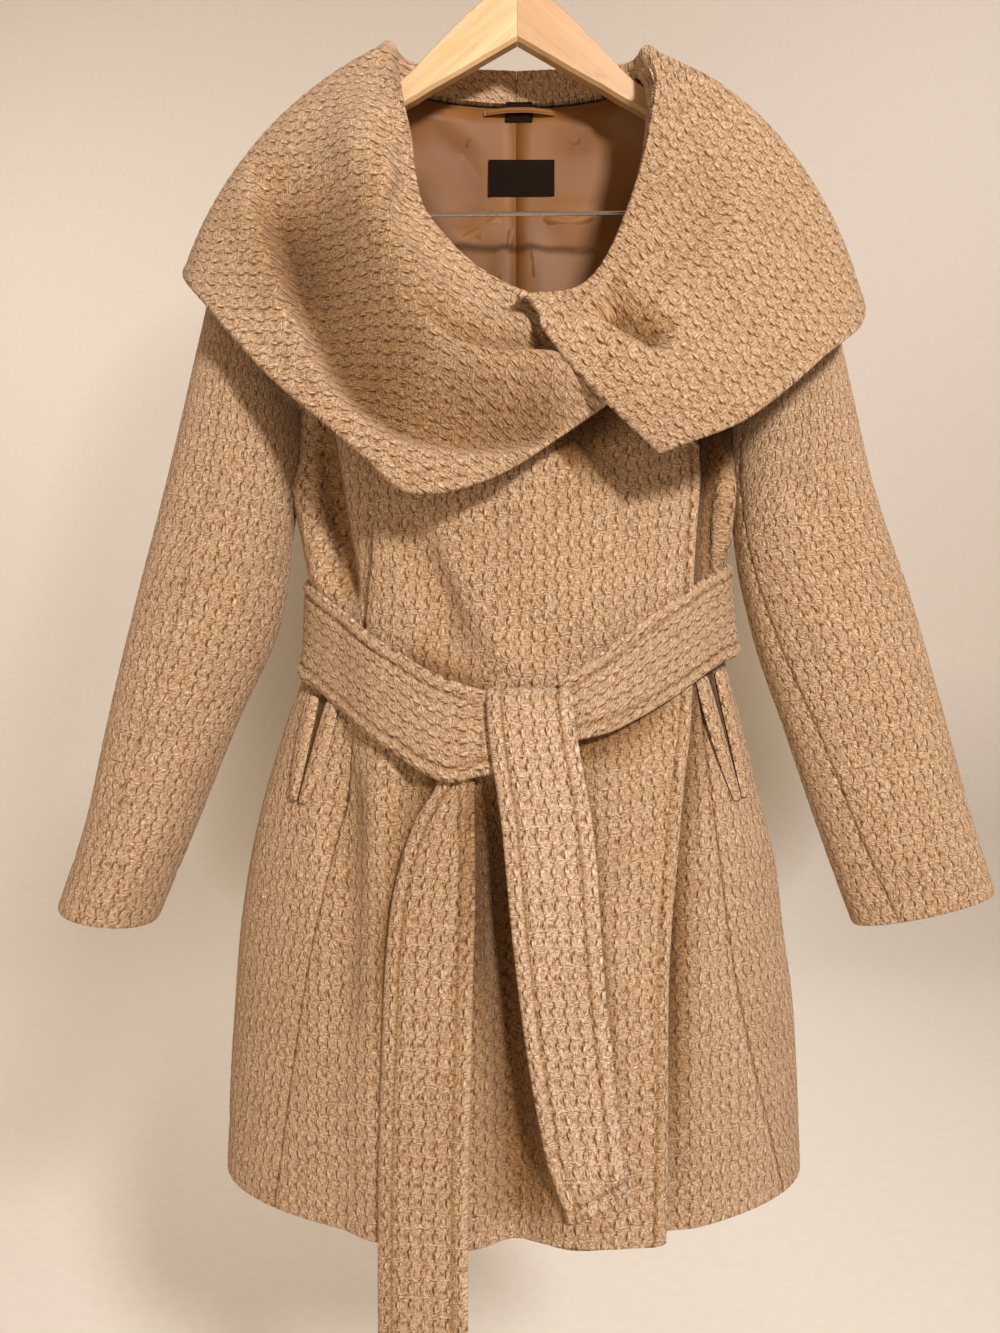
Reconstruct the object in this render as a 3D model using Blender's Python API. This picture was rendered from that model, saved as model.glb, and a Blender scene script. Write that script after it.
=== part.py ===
"""A belted wrap coat with a cape collar, hanging flat on a wooden hanger.

Metres, +Z up, +X to the right of a person who faces the coat, front towards -Y.
The origin is the underside of the hook's crown, where a rail carries it.
Every cloth piece is a wall: a grid of outer points worked out from the coat's
sizes, moved in by the cloth's thickness, and closed round its edges.
"""
import math

import bpy
from mathutils import Vector

# ---------------------------------------------------------------- driving sizes
CLOTH = 0.003            # coat cloth with its interlining
DOUBLED = 0.005          # collar and belt, two layers pressed together
LINING = 0.001
SEAM = 0.0003            # gap between pieces that are sewn together
REST = 0.0006            # gap between a piece and the panel that it lies on

HEM_Z = -0.972
UNDERARM_Z = -0.395
LAP_TOP_Z = -0.430       # top corner of the over front's free edge
NECK_X = 0.0945          # neck point, where neckline and shoulder meet
BACK_NECK_Z = -0.1520
SHOULDER_SEAM_X = 0.145  # where the princess seam meets the shoulder

BELT_WIDTH = 0.058
TAIL_END_Z = -1.100
FRONT_TAIL_END_Z = -0.946

ARM_THICKNESS = 0.012
BAR_RADIUS = 0.0016
HOOK_WIRE = 0.0021
HOOK_RADIUS = 0.0200     # inside radius of the hook's crown

FRONT_POWER = 1.7        # under 2 makes a lens-shaped front, over 2 a flat back
BACK_POWER = 3.0
BACK_TOP_Y = 0.037       # the back's depth above the underarm
ROOF_RADIUS = 0.0135     # the cloth's bend over the hanger's arms
FRONT_FALL = 0.032       # how far below the shoulder line the cloth reaches its full depth
BACK_FALL = 0.022
LAP = 0.0065             # how far the over front stands proud of the under front
SKIRT_LAP = 0.010        # more of it towards the hem
SHOULDER_HALF = 0.207    # shoulder point's distance from the middle
BACK_COLUMNS = (1.0, 0.985, 0.93, 0.83, 0.66, NECK_X / SHOULDER_HALF, 0.36, 0.18, 0.0)


# ---------------------------------------------------------------- short tables
def rows(columns, *lines):
    names = columns.split()
    return [dict(zip(names, line)) for line in lines]


BODY = rows(
    "z      left   right  front   back   side",
    (HEM_Z, 0.222, 0.217, -0.094, 0.042, 0.020),
    (-0.90, 0.219, 0.214, -0.093, 0.042, 0.018),
    (-0.84, 0.215, 0.210, -0.091, 0.042, 0.016),
    (-0.79, 0.211, 0.203, -0.089, 0.041, 0.015),
    (-0.735, 0.203, 0.196, -0.086, 0.040, 0.013),
    (-0.68, 0.190, 0.182, -0.081, 0.038, 0.011),
    (-0.634, 0.176, 0.171, -0.075, 0.036, 0.010),
    (-0.57, 0.156, 0.155, -0.066, 0.033, 0.008),
    (-0.52, 0.155, 0.153, -0.066, 0.034, 0.008),
    (-0.45, 0.161, 0.159, -0.070, 0.036, 0.008),
    (UNDERARM_Z, 0.162, 0.160, -0.066, 0.036, 0.008))

# above the underarm "half" is the armhole's distance from the middle
ARMHOLE = rows(
    "share half   front   front_edge back_edge",
    (0.00, 0.162, -0.066, 0.008, 0.008),
    (0.06, 0.160, -0.065, -0.016, 0.022),
    (0.20, 0.158, -0.063, -0.032, 0.031),
    (0.40, 0.157, -0.060, -0.036, 0.034),
    (0.62, 0.166, -0.057, -0.036, 0.034),
    (0.80, 0.184, -0.055, -0.036, 0.034),
    (0.90, 0.195, -0.054, -0.036, 0.034),
    (0.955, 0.201, -0.054, -0.036, 0.034),
    (0.987, 0.205, -0.054, -0.036, 0.034),
    (1.00, SHOULDER_HALF, -0.054, -0.036, 0.034))

SHOULDER = rows(
    "x      z",
    (0.000, -0.0900),
    (0.070, -0.1300),
    (NECK_X, -0.1490),
    (0.133, -0.1725),
    (0.182, -0.2090),
    (SHOULDER_HALF, -0.2360))

OVER_NECKLINE = rows(
    "share x       z",
    (0.00, 0.075, -0.407),
    (0.06, 0.045, -0.399),
    (0.20, -0.003, -0.364),
    (0.40, -0.038, -0.336),
    (0.62, -0.081, -0.290),
    (0.80, -0.0905, -0.243),
    (0.90, -0.0955, -0.193),
    (0.955, -0.0955, -0.168),
    (0.987, -0.0950, -0.154),
    (1.00, -NECK_X, -0.149))

UNDER_NECKLINE = rows(
    "share x       z",
    (0.00, -0.070, -0.412),
    (0.06, -0.030, -0.398),
    (0.20, 0.008, -0.368),
    (0.40, 0.042, -0.352),
    (0.62, 0.075, -0.320),
    (0.80, 0.097, -0.266),
    (0.90, 0.104, -0.208),
    (0.955, 0.0985, -0.172),
    (0.987, 0.0950, -0.155),
    (1.00, NECK_X, -0.149))

OVERLAP_EDGE = rows(
    "z      x",
    (HEM_Z, 0.094), (-0.80, 0.101), (-0.70, 0.111), (-0.60, 0.121), (LAP_TOP_Z, 0.126))
PRINCESS = rows(
    "z      left    right",
    (HEM_Z, 0.166, 0.192), (-0.80, 0.142, 0.150), (-0.68, 0.121, 0.138), (-0.57, 0.108, 0.132),
    (-0.45, 0.098, 0.134), (UNDERARM_Z, 0.099, 0.136))
UNDER_EDGE_X = -0.090

# large folds of the front: a line from its top to its foot, half its width, and
# how far the cloth stands out (+) or falls back (-) along it
FOLDS = rows(
    "x1     z1      x2      z2     width  depth",
    (-0.006, -0.650, -0.004, -0.990, 0.024, -0.020),   # hollow between the belt's tails
    (-0.122, -0.630, -0.128, -0.760, 0.014, -0.008),   # under the belt's left stretch
    (0.050, -0.640, 0.060, -0.990, 0.040, 0.005),      # front carried by the short tail
    (-0.148, -0.400, -0.118, -0.545, 0.010, -0.011),   # beside the left side's roll
    (0.140, -0.420, 0.142, -0.560, 0.010, -0.014),     # beyond the lapped edge
    (-0.060, -0.480, -0.030, -0.600, 0.022, -0.010),   # chest drape, valley
    (-0.010, -0.500, 0.060, -0.570, 0.024, 0.007))     # chest drape, ridge

SLEEVES = {
    "left": rows(
        "outer_x outer_z inner_x inner_z depth",
        (0.2180, -0.2580, 0.1660, -0.4050, 0.0340),
        (0.2260, -0.2960, 0.1670, -0.4150, 0.0370),
        (0.2400, -0.3600, 0.1670, -0.4400, 0.0410),
        (0.2610, -0.4500, 0.1690, -0.4900, 0.0420),
        (0.2830, -0.5350, 0.1780, -0.5560, 0.0410),
        (0.3030, -0.6200, 0.2100, -0.6290, 0.0410),
        (0.3220, -0.7080, 0.2440, -0.7130, 0.0410),
        (0.3420, -0.7720, 0.2730, -0.7860, 0.0400)),
    "right": rows(
        "outer_x outer_z inner_x inner_z depth",
        (0.2200, -0.2580, 0.1640, -0.4050, 0.0340),
        (0.2290, -0.2960, 0.1650, -0.4180, 0.0360),
        (0.2440, -0.3600, 0.1640, -0.4500, 0.0380),
        (0.2650, -0.4500, 0.1640, -0.5010, 0.0340),
        (0.2950, -0.5400, 0.1780, -0.5690, 0.0310),
        (0.3190, -0.6250, 0.2020, -0.6400, 0.0290),
        (0.3440, -0.7150, 0.2330, -0.7300, 0.0270),
        (0.3590, -0.7630, 0.2530, -0.7880, 0.0250))}
SLEEVE_SEAMS = {"left": (4, 10), "right": (6, 12)}   # ring steps of the two seams

# the collar, one row to each station from centre back to the front end:
# neck is the place on the neckline (0 centre back, 1 neck point, 2 its front end),
# r the roll line, m the middle of the fall, f the free edge, o the way that the
# fall lies from the stand
COLLAR_COLUMNS = "neck rx ry rz mx my mz fx fy fz ox oy oz"
COLLARS = {
    "left": rows(
        COLLAR_COLUMNS,
        (0.00, 0.000, 0.034, -0.118, 0.000, 0.054, -0.220, 0.000, 0.058, -0.335, 0, 1, 0),
        (0.55, -0.050, 0.031, -0.117, -0.080, 0.053, -0.215, -0.110, 0.060, -0.343, 0, 1, 0),
        (0.88, -0.082, 0.020, -0.118, -0.150, 0.048, -0.205, -0.205, 0.056, -0.330, -0.6, 0.8, 0.1),
        (1.00, -0.088, 0.000, -0.121, -0.185, 0.010, -0.1885, -0.246, 0.012, -0.294, -1, 0, 0.3),
        (1.045, -0.086, -0.012, -0.142, -0.184, -0.037, -0.215, -0.240, -0.036, -0.310, -0.9, -0.4, 0.2),
        (1.10, -0.083, -0.022, -0.175, -0.162, -0.058, -0.260, -0.219, -0.062, -0.334, -0.7, -0.7, 0),
        (1.21, -0.075, -0.042, -0.228, -0.125, -0.073, -0.315, -0.170, -0.083, -0.390, -0.4, -0.9, 0),
        (1.38, -0.066, -0.054, -0.274, -0.095, -0.084, -0.350, -0.130, -0.093, -0.425, -0.2, -1, 0),
        (1.60, -0.028, -0.064, -0.318, -0.062, -0.094, -0.392, -0.096, -0.098, -0.455, 0, -1, 0),
        (1.78, 0.003, -0.070, -0.346, -0.028, -0.097, -0.416, -0.070, -0.100, -0.474, 0, -1, 0),
        (1.87, 0.024, -0.073, -0.368, 0.005, -0.096, -0.425, -0.015, -0.099, -0.463, 0, -1, 0),
        (1.94, 0.046, -0.074, -0.386, 0.049, -0.090, -0.404, 0.048, -0.090, -0.421, 0, -1, 0)),
    "right": rows(
        COLLAR_COLUMNS,
        (0.00, 0.000, 0.034, -0.118, 0.000, 0.054, -0.220, 0.000, 0.058, -0.335, 0, 1, 0),
        (0.55, 0.050, 0.031, -0.117, 0.085, 0.053, -0.215, 0.115, 0.060, -0.345, 0, 1, 0),
        (0.88, 0.085, 0.020, -0.119, 0.158, 0.048, -0.205, 0.212, 0.056, -0.345, 0.6, 0.8, 0.1),
        (1.00, 0.089, 0.000, -0.124, 0.193, 0.010, -0.189, 0.254, 0.012, -0.314, 1, 0, 0.3),
        (1.045, 0.088, -0.012, -0.144, 0.192, -0.036, -0.222, 0.250, -0.032, -0.330, 0.9, -0.4, 0.2),
        (1.09, 0.092, -0.022, -0.176, 0.176, -0.058, -0.270, 0.236, -0.060, -0.352, 0.7, -0.7, 0),
        (1.16, 0.089, -0.037, -0.212, 0.160, -0.074, -0.305, 0.205, -0.083, -0.378, 0.4, -0.9, 0),
        (1.26, 0.081, -0.048, -0.250, 0.130, -0.085, -0.335, 0.176, -0.094, -0.404, 0.2, -1, 0),
        (1.42, 0.061, -0.060, -0.302, 0.100, -0.101, -0.365, 0.144, -0.104, -0.428, 0, -1, 0),
        (1.60, 0.036, -0.076, -0.331, 0.070, -0.112, -0.388, 0.112, -0.110, -0.442, 0, -1, 0),
        (1.72, 0.004, -0.097, -0.338, 0.044, -0.114, -0.395, 0.091, -0.111, -0.4505, 0, -1, 0))}
COLLAR_END_NECK = {"left": 1.94, "right": 1.60}
NECK_RISE = 0.0034       # the stand's foot, up from the neck edge and back towards the neck
NECK_STEP = 0.0035
FALL_GAP = 0.0025        # between the fall and the coat under it
ROLL_RADIUS = 0.0075
ROLL_STEPS = 3

# the belt's middle line on the front, half its upright width there, and how
# far it stands off the coat where other layers pass under it
BELT_LEFT = rows(
    "x       z       half    lift",
    (-0.162, -0.5520, 0.0345, 0.0028),
    (-0.155, -0.5595, 0.0350, 0.0026),
    (-0.123, -0.5840, 0.0350, 0.0025),
    (-0.080, -0.6130, 0.0345, 0.0060),
    (-0.044, -0.6350, 0.0330, 0.0080),
    (-0.0200, -0.6430, 0.0280, 0.0080),
    (-0.012, -0.6450, 0.0270, 0.0080))
BELT_RIGHT = rows(
    "x      z       half    lift",
    (0.0355, -0.6220, 0.0280, 0.0080),
    (0.0385, -0.6200, 0.0290, 0.0080),
    (0.061, -0.6090, 0.0320, 0.0060),
    (0.107, -0.5780, 0.0350, 0.0025),
    (0.146, -0.5510, 0.0350, 0.0026),
    (0.158, -0.5460, 0.0345, 0.0028))

LONG_TAIL = rows(                     # left and right edges of the long end
    "z      left    right",
    (-0.645, -0.052, -0.024), (-0.668, -0.050, -0.020), (-0.710, -0.076, -0.0215),
    (-0.744, -0.0845, -0.0265), (-0.780, -0.0884, -0.0305), (-0.860, -0.0915, -0.0335),
    (-0.950, -0.0935, -0.0355), (TAIL_END_Z, -0.0930, -0.0350))
FRONT_TAIL = rows(                    # left and right edges of the short end, in front
    "z      left    right",
    (-0.602, -0.0215, 0.0330), (-0.635, -0.0190, 0.0370), (-0.689, -0.0110, 0.0457),
    (-0.715, -0.0085, 0.0483), (-0.775, -0.0027, 0.0520), (-0.857, 0.0085, 0.0600),
    (-0.918, 0.0212, 0.0665), (FRONT_TAIL_END_Z, 0.0320, 0.0700))
FRONT_TAIL_SLANT = 0.020
KNOT_TOP_Z = -0.602

POCKETS = rows(                       # the slit's two ends on each side panel
    "side top_x  top_z   foot_x  foot_z",
    ("left", -0.139, -0.612, -0.157, -0.682),
    ("right", 0.1440, -0.594, 0.1630, -0.678))
WELT_WIDTH = 0.0105

HANGER_ARM = rows(
    "x      top     foot",
    (0.0000, -0.0700, -0.1210),
    (0.0220, -0.0870, -0.1335),
    (0.0355, -0.0985, -0.1415),
    (0.0505, -0.1135, -0.1500),
    (0.0640, -0.1270, -0.1575),
    (0.0760, -0.1405, -0.1650),
    (0.0860, -0.1495, -0.1705),
    (0.0945, -0.1550, -0.1755),
    (0.1330, -0.1775, -0.1995),
    (0.1820, -0.2150, -0.2375),
    (0.1930, -0.2260, -0.2550),
    (0.1965, -0.2325, -0.2550))
ARM_CHAMFER = 0.0025
ARM_END_HALF = 0.0045     # the arms are thinner at their ends
BAR_Z = -0.2485
BAR_TILT = 0.0018        # the bar's left end hangs this much lower, its right end higher
BAR_SEAT = 0.0004        # gap between the bar's ends and the arms that hold it
SHANK_TOP_Z = -0.050

# the cut levels of every body piece: below the underarm by height, above it by share
LEVELS_BELOW = (HEM_Z, -0.89, -0.81, -0.745, -0.70, -0.66, -0.62, -0.58, -0.535, -0.485, LAP_TOP_Z)
SHARES = tuple(row["share"] for row in ARMHOLE)


# ---------------------------------------------------------------- small maths
def read(table, key, at, name):
    """Smooth curve through one column of a table, held flat past its ends."""
    pairs = sorted((row[key], row[name]) for row in table)
    if at <= pairs[0][0]:
        return pairs[0][1]
    if at >= pairs[-1][0]:
        return pairs[-1][1]
    k = max(i for i, (here, _) in enumerate(pairs[:-1]) if here <= at)
    (x1, y1), (x2, y2) = pairs[k], pairs[k + 1]

    def slope(i):
        if i in (0, len(pairs) - 1):
            return None
        (xa, ya), (xb, yb), (xc, yc) = pairs[i - 1:i + 2]
        first, second = (yb - ya) / (xb - xa), (yc - yb) / (xc - xb)
        if first * second <= 0:
            return 0.0
        return 2 * first * second / (first + second)

    chord = (y2 - y1) / (x2 - x1)
    m1, m2 = slope(k), slope(k + 1)
    m1 = chord if m1 is None else m1
    m2 = chord if m2 is None else m2
    t, h = (at - x1) / (x2 - x1), x2 - x1
    return ((2 * t**3 - 3 * t**2 + 1) * y1 + (t**3 - 2 * t**2 + t) * h * m1
            + (3 * t**2 - 2 * t**3) * y2 + (t**3 - t**2) * h * m2)


def lerp(a, b, t):
    return a + (b - a) * t


def ramp(t, low, high):
    """0 before low, 1 past high, smooth between."""
    t = min(max((t - low) / (high - low), 0.0), 1.0)
    return t * t * (3 - 2 * t)


# ---------------------------------------------------------------- the coat's surface
def shoulder_z(x):
    return read(SHOULDER, "x", abs(x), "z")


def share_at(z):
    top = shoulder_z(SHOULDER_HALF)
    return (z - UNDERARM_Z) / (top - UNDERARM_Z)


def half_width(z, sign):
    if z <= UNDERARM_Z:
        return read(BODY, "z", z, "right" if sign > 0 else "left")
    narrower = 0.002 * (1 - share_at(z)) if sign > 0 else 0.0
    return read(ARMHOLE, "share", share_at(z), "half") - narrower


def fold_depth(x, z):
    total = 0.0
    for fold in FOLDS:
        dx, dz = fold["x2"] - fold["x1"], fold["z2"] - fold["z1"]
        along = ((x - fold["x1"]) * dx + (z - fold["z1"]) * dz) / (dx * dx + dz * dz)
        if 0 < along < 1:
            aside = math.hypot(x - fold["x1"] - along * dx, z - fold["z1"] - along * dz)
            ends = math.sin(math.pi * along) ** 0.7 if fold["z2"] > HEM_Z else ramp(along, 0.0, 0.35)
            total += fold["depth"] * ends * math.exp(-(aside / fold["width"]) ** 2)
    return total


def roof(drop):
    """The cloth's least distance from the hanger's mid plane, `drop` below the shoulder line."""
    drop = min(max(drop, 0.0), ROOF_RADIUS)
    return math.sqrt(ROOF_RADIUS**2 - (ROOF_RADIUS - drop) ** 2)


def surface(turn, z, sign, back=False, folds=True):
    """Outer point of the coat. turn runs from 0 at the side to pi/2 at the middle."""
    power = BACK_POWER if back else FRONT_POWER
    half = half_width(z, sign)
    x = sign * half * max(math.cos(turn), 0.0) ** (2 / power)
    if z <= UNDERARM_Z:
        edge = read(BODY, "z", z, "side")
        middle = read(BODY, "z", z, "back" if back else "front")
    else:
        share = share_at(z)
        edge = read(ARMHOLE, "share", share, "back_edge" if back else "front_edge")
        middle = BACK_TOP_Y if back else read(ARMHOLE, "share", share, "front")
    y = edge + (middle - edge) * max(math.sin(turn), 0.0) ** (2 / power)
    if folds and not back:
        y -= fold_depth(x, z) * ramp(turn, 0.0, 0.45)
    if z > UNDERARM_Z:
        drop = shoulder_z(x) - z
        reached = 1 - math.exp(-drop / (BACK_FALL if back else FRONT_FALL))
        y = max(abs(y) * reached, roof(drop)) * (1 if back else -1)
    return Vector((x, y, z))


def turn_at(x, z, back=False):
    sign = 1 if x >= 0 else -1
    share = min(abs(x) / half_width(z, sign), 1.0)
    return math.acos(share ** ((BACK_POWER if back else FRONT_POWER) / 2))


def spread(left, right, steps):
    """Row of (sign, turn, z) on the front from one end (x, z) to the other, even in turn.

    Near the shoulder a row keeps its drop below the shoulder line, so that the
    top row lies on it."""
    def signed(x, z):
        turn = turn_at(x, z)
        return turn if x < 0 else math.pi - turn

    a, b = signed(*left), signed(*right)
    drops = [shoulder_z(x) - z for x, z in (left, right)]
    follow = 1 - ramp(sum(drops) / 2, 0.01, 0.10)
    row = []
    for i in range(steps + 1):
        t = i / steps
        around = lerp(a, b, t)
        sign = -1 if around < math.pi / 2 else 1
        turn = around if sign < 0 else math.pi - around
        z = lerp(left[1], right[1], t)
        if follow > 0:
            x = sign * half_width(z, sign) * math.cos(turn) ** (2 / FRONT_POWER)
            z = lerp(z, shoulder_z(x) - lerp(*drops, t), follow)
            turn = turn_at(x, z)
        row.append((sign, turn, z))
    return row


# ---------------------------------------------------------------- building meshes
def finish(color, roughness, metallic):
    def make(name):
        made = bpy.data.materials.get(name) or bpy.data.materials.new(name)
        made.use_nodes = True
        shader = made.node_tree.nodes["Principled BSDF"]
        shader.inputs["Base Color"].default_value = (*color, 1.0)
        shader.inputs["Roughness"].default_value = roughness
        shader.inputs["Metallic"].default_value = metallic
        return made
    return make


FINISHES = {
    "wool": finish((0.56, 0.36, 0.20), 0.95, 0.0),
    "satin": finish((0.35, 0.19, 0.11), 0.45, 0.0),
    "label": finish((0.01, 0.008, 0.006), 0.7, 0.0),
    "beech": finish((0.75, 0.48, 0.24), 0.45, 0.0),
    "steel": finish((0.6, 0.6, 0.6), 0.2, 1.0)}


def solid(name, points, faces, kind, smooth=True):
    mesh = bpy.data.meshes.new(name)
    mesh.from_pydata([tuple(p) for p in points], [], faces)
    mesh.validate()
    piece = bpy.data.objects.new(name, mesh)
    bpy.context.collection.objects.link(piece)
    piece.data.materials.append(FINISHES[kind](kind))
    if smooth:
        mesh.shade_smooth()
        mesh.set_sharp_from_angle(angle=math.radians(40))
    return piece


def normals_of(grid, ring=False):
    """Unit normals of a grid of points, from its neighbours."""
    high, wide = len(grid), len(grid[0])
    out = []
    for i in range(high):
        line = []
        for j in range(wide):
            left = (j - 1) % wide if ring else max(j - 1, 0)
            right = (j + 1) % wide if ring else min(j + 1, wide - 1)
            across = grid[i][right] - grid[i][left]
            along = grid[min(i + 1, high - 1)][j] - grid[max(i - 1, 0)][j]
            line.append(across.cross(along).normalized())
        out.append(line)
    return out


def volume(points, faces):
    total = 0.0
    for face in faces:
        for k in range(1, len(face) - 1):
            total += points[face[0]].dot(points[face[k]].cross(points[face[k + 1]]))
    return total / 6


def wall(name, grid, thickness, normals, kind="wool"):
    """Closed wall: a grid of outer points, and the same grid moved in along its normals."""
    high, wide = len(grid), len(grid[0])
    points = [p for line in grid for p in line]
    points += [p - n * thickness for line, turned in zip(grid, normals) for p, n in zip(line, turned)]
    count = high * wide
    faces = []
    for i in range(high - 1):
        for j in range(wide - 1):
            a, d = i * wide + j, (i + 1) * wide + j
            b, c = a + 1, d + 1
            faces += [(a, b, c), (a, c, d)]
            faces += [(a + count, c + count, b + count), (a + count, d + count, c + count)]
    rim = list(range(wide)) + [i * wide + wide - 1 for i in range(1, high)]
    rim += [(high - 1) * wide + j for j in range(wide - 2, -1, -1)]
    rim += [i * wide for i in range(high - 2, 0, -1)]
    for a, b in zip(rim, rim[1:] + rim[:1]):
        faces += [(b, a, a + count), (b, a + count, b + count)]
    if volume(points, faces) < 0:
        faces = [tuple(reversed(face)) for face in faces]
    return solid(name, points, faces, kind)


# ---------------------------------------------------------------- body panels
def lap_lift(x, z):
    """How far the over front stands proud of the coat's surface, to clear the under front."""
    return LAP * ramp(x, -0.125, -0.096) + SKIRT_LAP * ramp(x, 0.0, 0.09) * ramp(-z, 0.62, 0.95)


def on_coat(line, back=False, out=0.0, lift=None, folds=True):
    """Points and normals of a row of (sign, turn, z) on the coat, moved out."""
    points, normals = [], []
    for sign, turn, z in line:
        here = surface(turn, z, sign, back, folds)
        step = 0.03
        low, high = max(turn - step, 0.0), min(turn + step, math.pi / 2)
        across = (surface(high, z, sign, back, folds) - surface(low, z, sign, back, folds)) * -sign
        along = surface(turn, z + 0.004, sign, back, folds) - surface(turn, z - 0.004, sign, back, folds)
        normal = across.cross(along).normalized() * (-1 if back else 1)
        if turn < 0.02 and z <= UNDERARM_Z:
            normal = Vector((sign, 0, 0))
        if shoulder_z(here.x) - z < 1e-4 and abs(here.x) >= NECK_X - 1e-4:
            here.y = SEAM / 2 if back else -SEAM / 2
            normal = Vector((normal.x, 0, normal.z)).normalized()
        shift = out + (lift(here.x, z) if lift else 0.0)
        points.append(here + normal * shift)
        normals.append(normal)
    return points, normals


def panel(name, ends, steps, lift=None):
    grid, normals = [], []
    for left, right in ends:
        points, turned = on_coat(spread(left, right, steps), lift=lift)
        grid.append(points)
        normals.append(turned)
    return wall(name, grid, CLOTH, normals)


def princess_ends(side):
    """(x, z) of the princess seam at each cut level, hem first."""
    sign = -1 if side == "left" else 1
    ends = [(sign * read(PRINCESS, "z", z, side), z) for z in LEVELS_BELOW]
    low = read(PRINCESS, "z", UNDERARM_Z, side)
    for share in SHARES:
        x = lerp(low, SHOULDER_SEAM_X, share)
        ends.append((sign * x, lerp(UNDERARM_Z, shoulder_z(x), share)))
    return ends


def side_ends(sign):
    """(x, z) of side seam and armhole at each cut level."""
    top = shoulder_z(SHOULDER_HALF)
    heights = list(LEVELS_BELOW) + [lerp(UNDERARM_Z, top, share) for share in SHARES]
    return [(sign * half_width(z, sign), z) for z in heights]


def nudge(ends, by):
    return [(x + by, z) for x, z in ends]


def build_fronts():
    gap = SEAM * 0.7
    left, right = princess_ends("left"), princess_ends("right")
    edge = [(read(OVERLAP_EDGE, "z", z, "x"), z) for z in LEVELS_BELOW]
    edge += [(row["x"], row["z"]) for row in OVER_NECKLINE]
    hidden = [(UNDER_EDGE_X, z) for z in LEVELS_BELOW] + [(row["x"], row["z"]) for row in UNDER_NECKLINE]
    panel("front_over_side", list(zip(side_ends(-1), nudge(left, -gap))), 6)
    panel("front_over_centre", list(zip(nudge(left, gap), edge)), 11, lift=lap_lift)
    panel("front_under_centre", list(zip(hidden, nudge(right, -gap))), 10)
    panel("front_under_side", list(zip(nudge(right, gap), side_ends(1))), 5)


def back_top(x):
    """Shoulder line, and the back neck's shallow curve inside it."""
    if abs(x) > NECK_X:
        return shoulder_z(x)
    return lerp(BACK_NECK_Z, shoulder_z(NECK_X), (x / NECK_X) ** 2)


def back_row(sign, level, side_z):
    """Row of (sign, turn, z) from side to centre back; above the underarm it rises to the shoulder."""
    share = 0.0 if level < len(LEVELS_BELOW) else SHARES[level - len(LEVELS_BELOW)]
    line = []
    for column in BACK_COLUMNS:
        x = half_width(side_z, sign) * column
        z = side_z if share == 0.0 else lerp(UNDERARM_Z, back_top(x), share)
        line.append((sign, turn_at(sign * x, z, True), z))
    return line


def build_backs():
    for name, sign in (("back_left", -1), ("back_right", 1)):
        grid, normals = [], []
        for level, (_, side_z) in enumerate(side_ends(sign)):
            points, turned = on_coat(back_row(sign, level, side_z), back=True)
            points[-1].x = sign * SEAM / 2
            turned[-1] = Vector((0, turned[-1].y, turned[-1].z)).normalized()
            if level < len(LEVELS_BELOW):
                points[0].y += SEAM
            grid.append(points)
            normals.append(turned)
        wall(name, grid, CLOTH, normals)


# ---------------------------------------------------------------- sleeves
def sleeve_rings(side):
    """Rings of a sleeve from armhole to cuff; step 0 is the outer edge, then round by the front."""
    sign = -1 if side == "left" else 1
    ends = [z for _, z in side_ends(sign)[len(LEVELS_BELOW):]]
    clear = Vector((sign * 0.0014, 0, -0.0006))
    rings = [[surface(0.0, z, sign) + clear for z in reversed(ends)]
             + [surface(0.0, z, sign, back=True) + clear for z in ends[1:-1]]]
    steps = len(rings[0])
    for section in SLEEVES[side]:
        outer = Vector((sign * section["outer_x"], 0, section["outer_z"]))
        inner = Vector((sign * section["inner_x"], 0, section["inner_z"]))
        middle, reach = (outer + inner) / 2, (outer - inner) / 2
        ring = []
        for k in range(steps):
            angle = 2 * math.pi * k / steps
            forward = Vector((0, section["depth"] * math.sin(angle), 0))
            ring.append(middle + reach * math.cos(angle) - forward)
        rings.append(ring)
    return rings


def build_sleeves():
    for side, sense in (("left", -1), ("right", 1)):
        rings = sleeve_rings(side)
        steps = len(rings[0])
        normals = normals_of(rings, ring=True)
        middle = sum(rings[4], Vector()) / steps
        if normals[4][0].dot(rings[4][0] - middle) < 0:
            normals = [[-n for n in line] for line in normals]
        first, last = SLEEVE_SEAMS[side]
        spans = {"under": range(first, last + 1), "upper": range(last, first + steps + 1)}
        for part, columns in spans.items():
            grid, turned = [], []
            for ring, ring_normals in zip(rings, normals):
                line = [ring[k % steps].copy() for k in columns]
                line[0] += (line[1] - line[0]).normalized() * SEAM * 1.7
                line[-1] += (line[-2] - line[-1]).normalized() * SEAM * 1.7
                grid.append(line)
                turned.append([ring_normals[k % steps] for k in columns])
            wall(f"sleeve_{side}_{part}", grid, CLOTH, turned)


# ---------------------------------------------------------------- collar
def neck_point(side, place):
    """Outer corner of the coat's neck edge: 0 centre back, 1 neck point, 2 the front end."""
    sign = -1 if side == "left" else 1
    if place <= 1:
        x = sign * NECK_X * place
        z = back_top(x)
        return Vector((x, surface(turn_at(x, z, True), z, sign, True).y * ramp(1 - place, 0, 0.08), z))
    corners = []
    for row in OVER_NECKLINE if side == "left" else UNDER_NECKLINE:
        x, z = row["x"], row["z"]
        y = surface(turn_at(x, z), z, 1 if x > 0 else -1).y - (lap_lift(x, z) if side == "left" else 0)
        corners.append((row["share"], Vector((x, y if row["share"] < 1 else 0.0, z))))
    for (low, start), (high, end) in zip(corners, corners[1:]):
        if 2 - place <= high:
            return start.lerp(end, (2 - place - low) / (high - low))
    return corners[-1][1]


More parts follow.
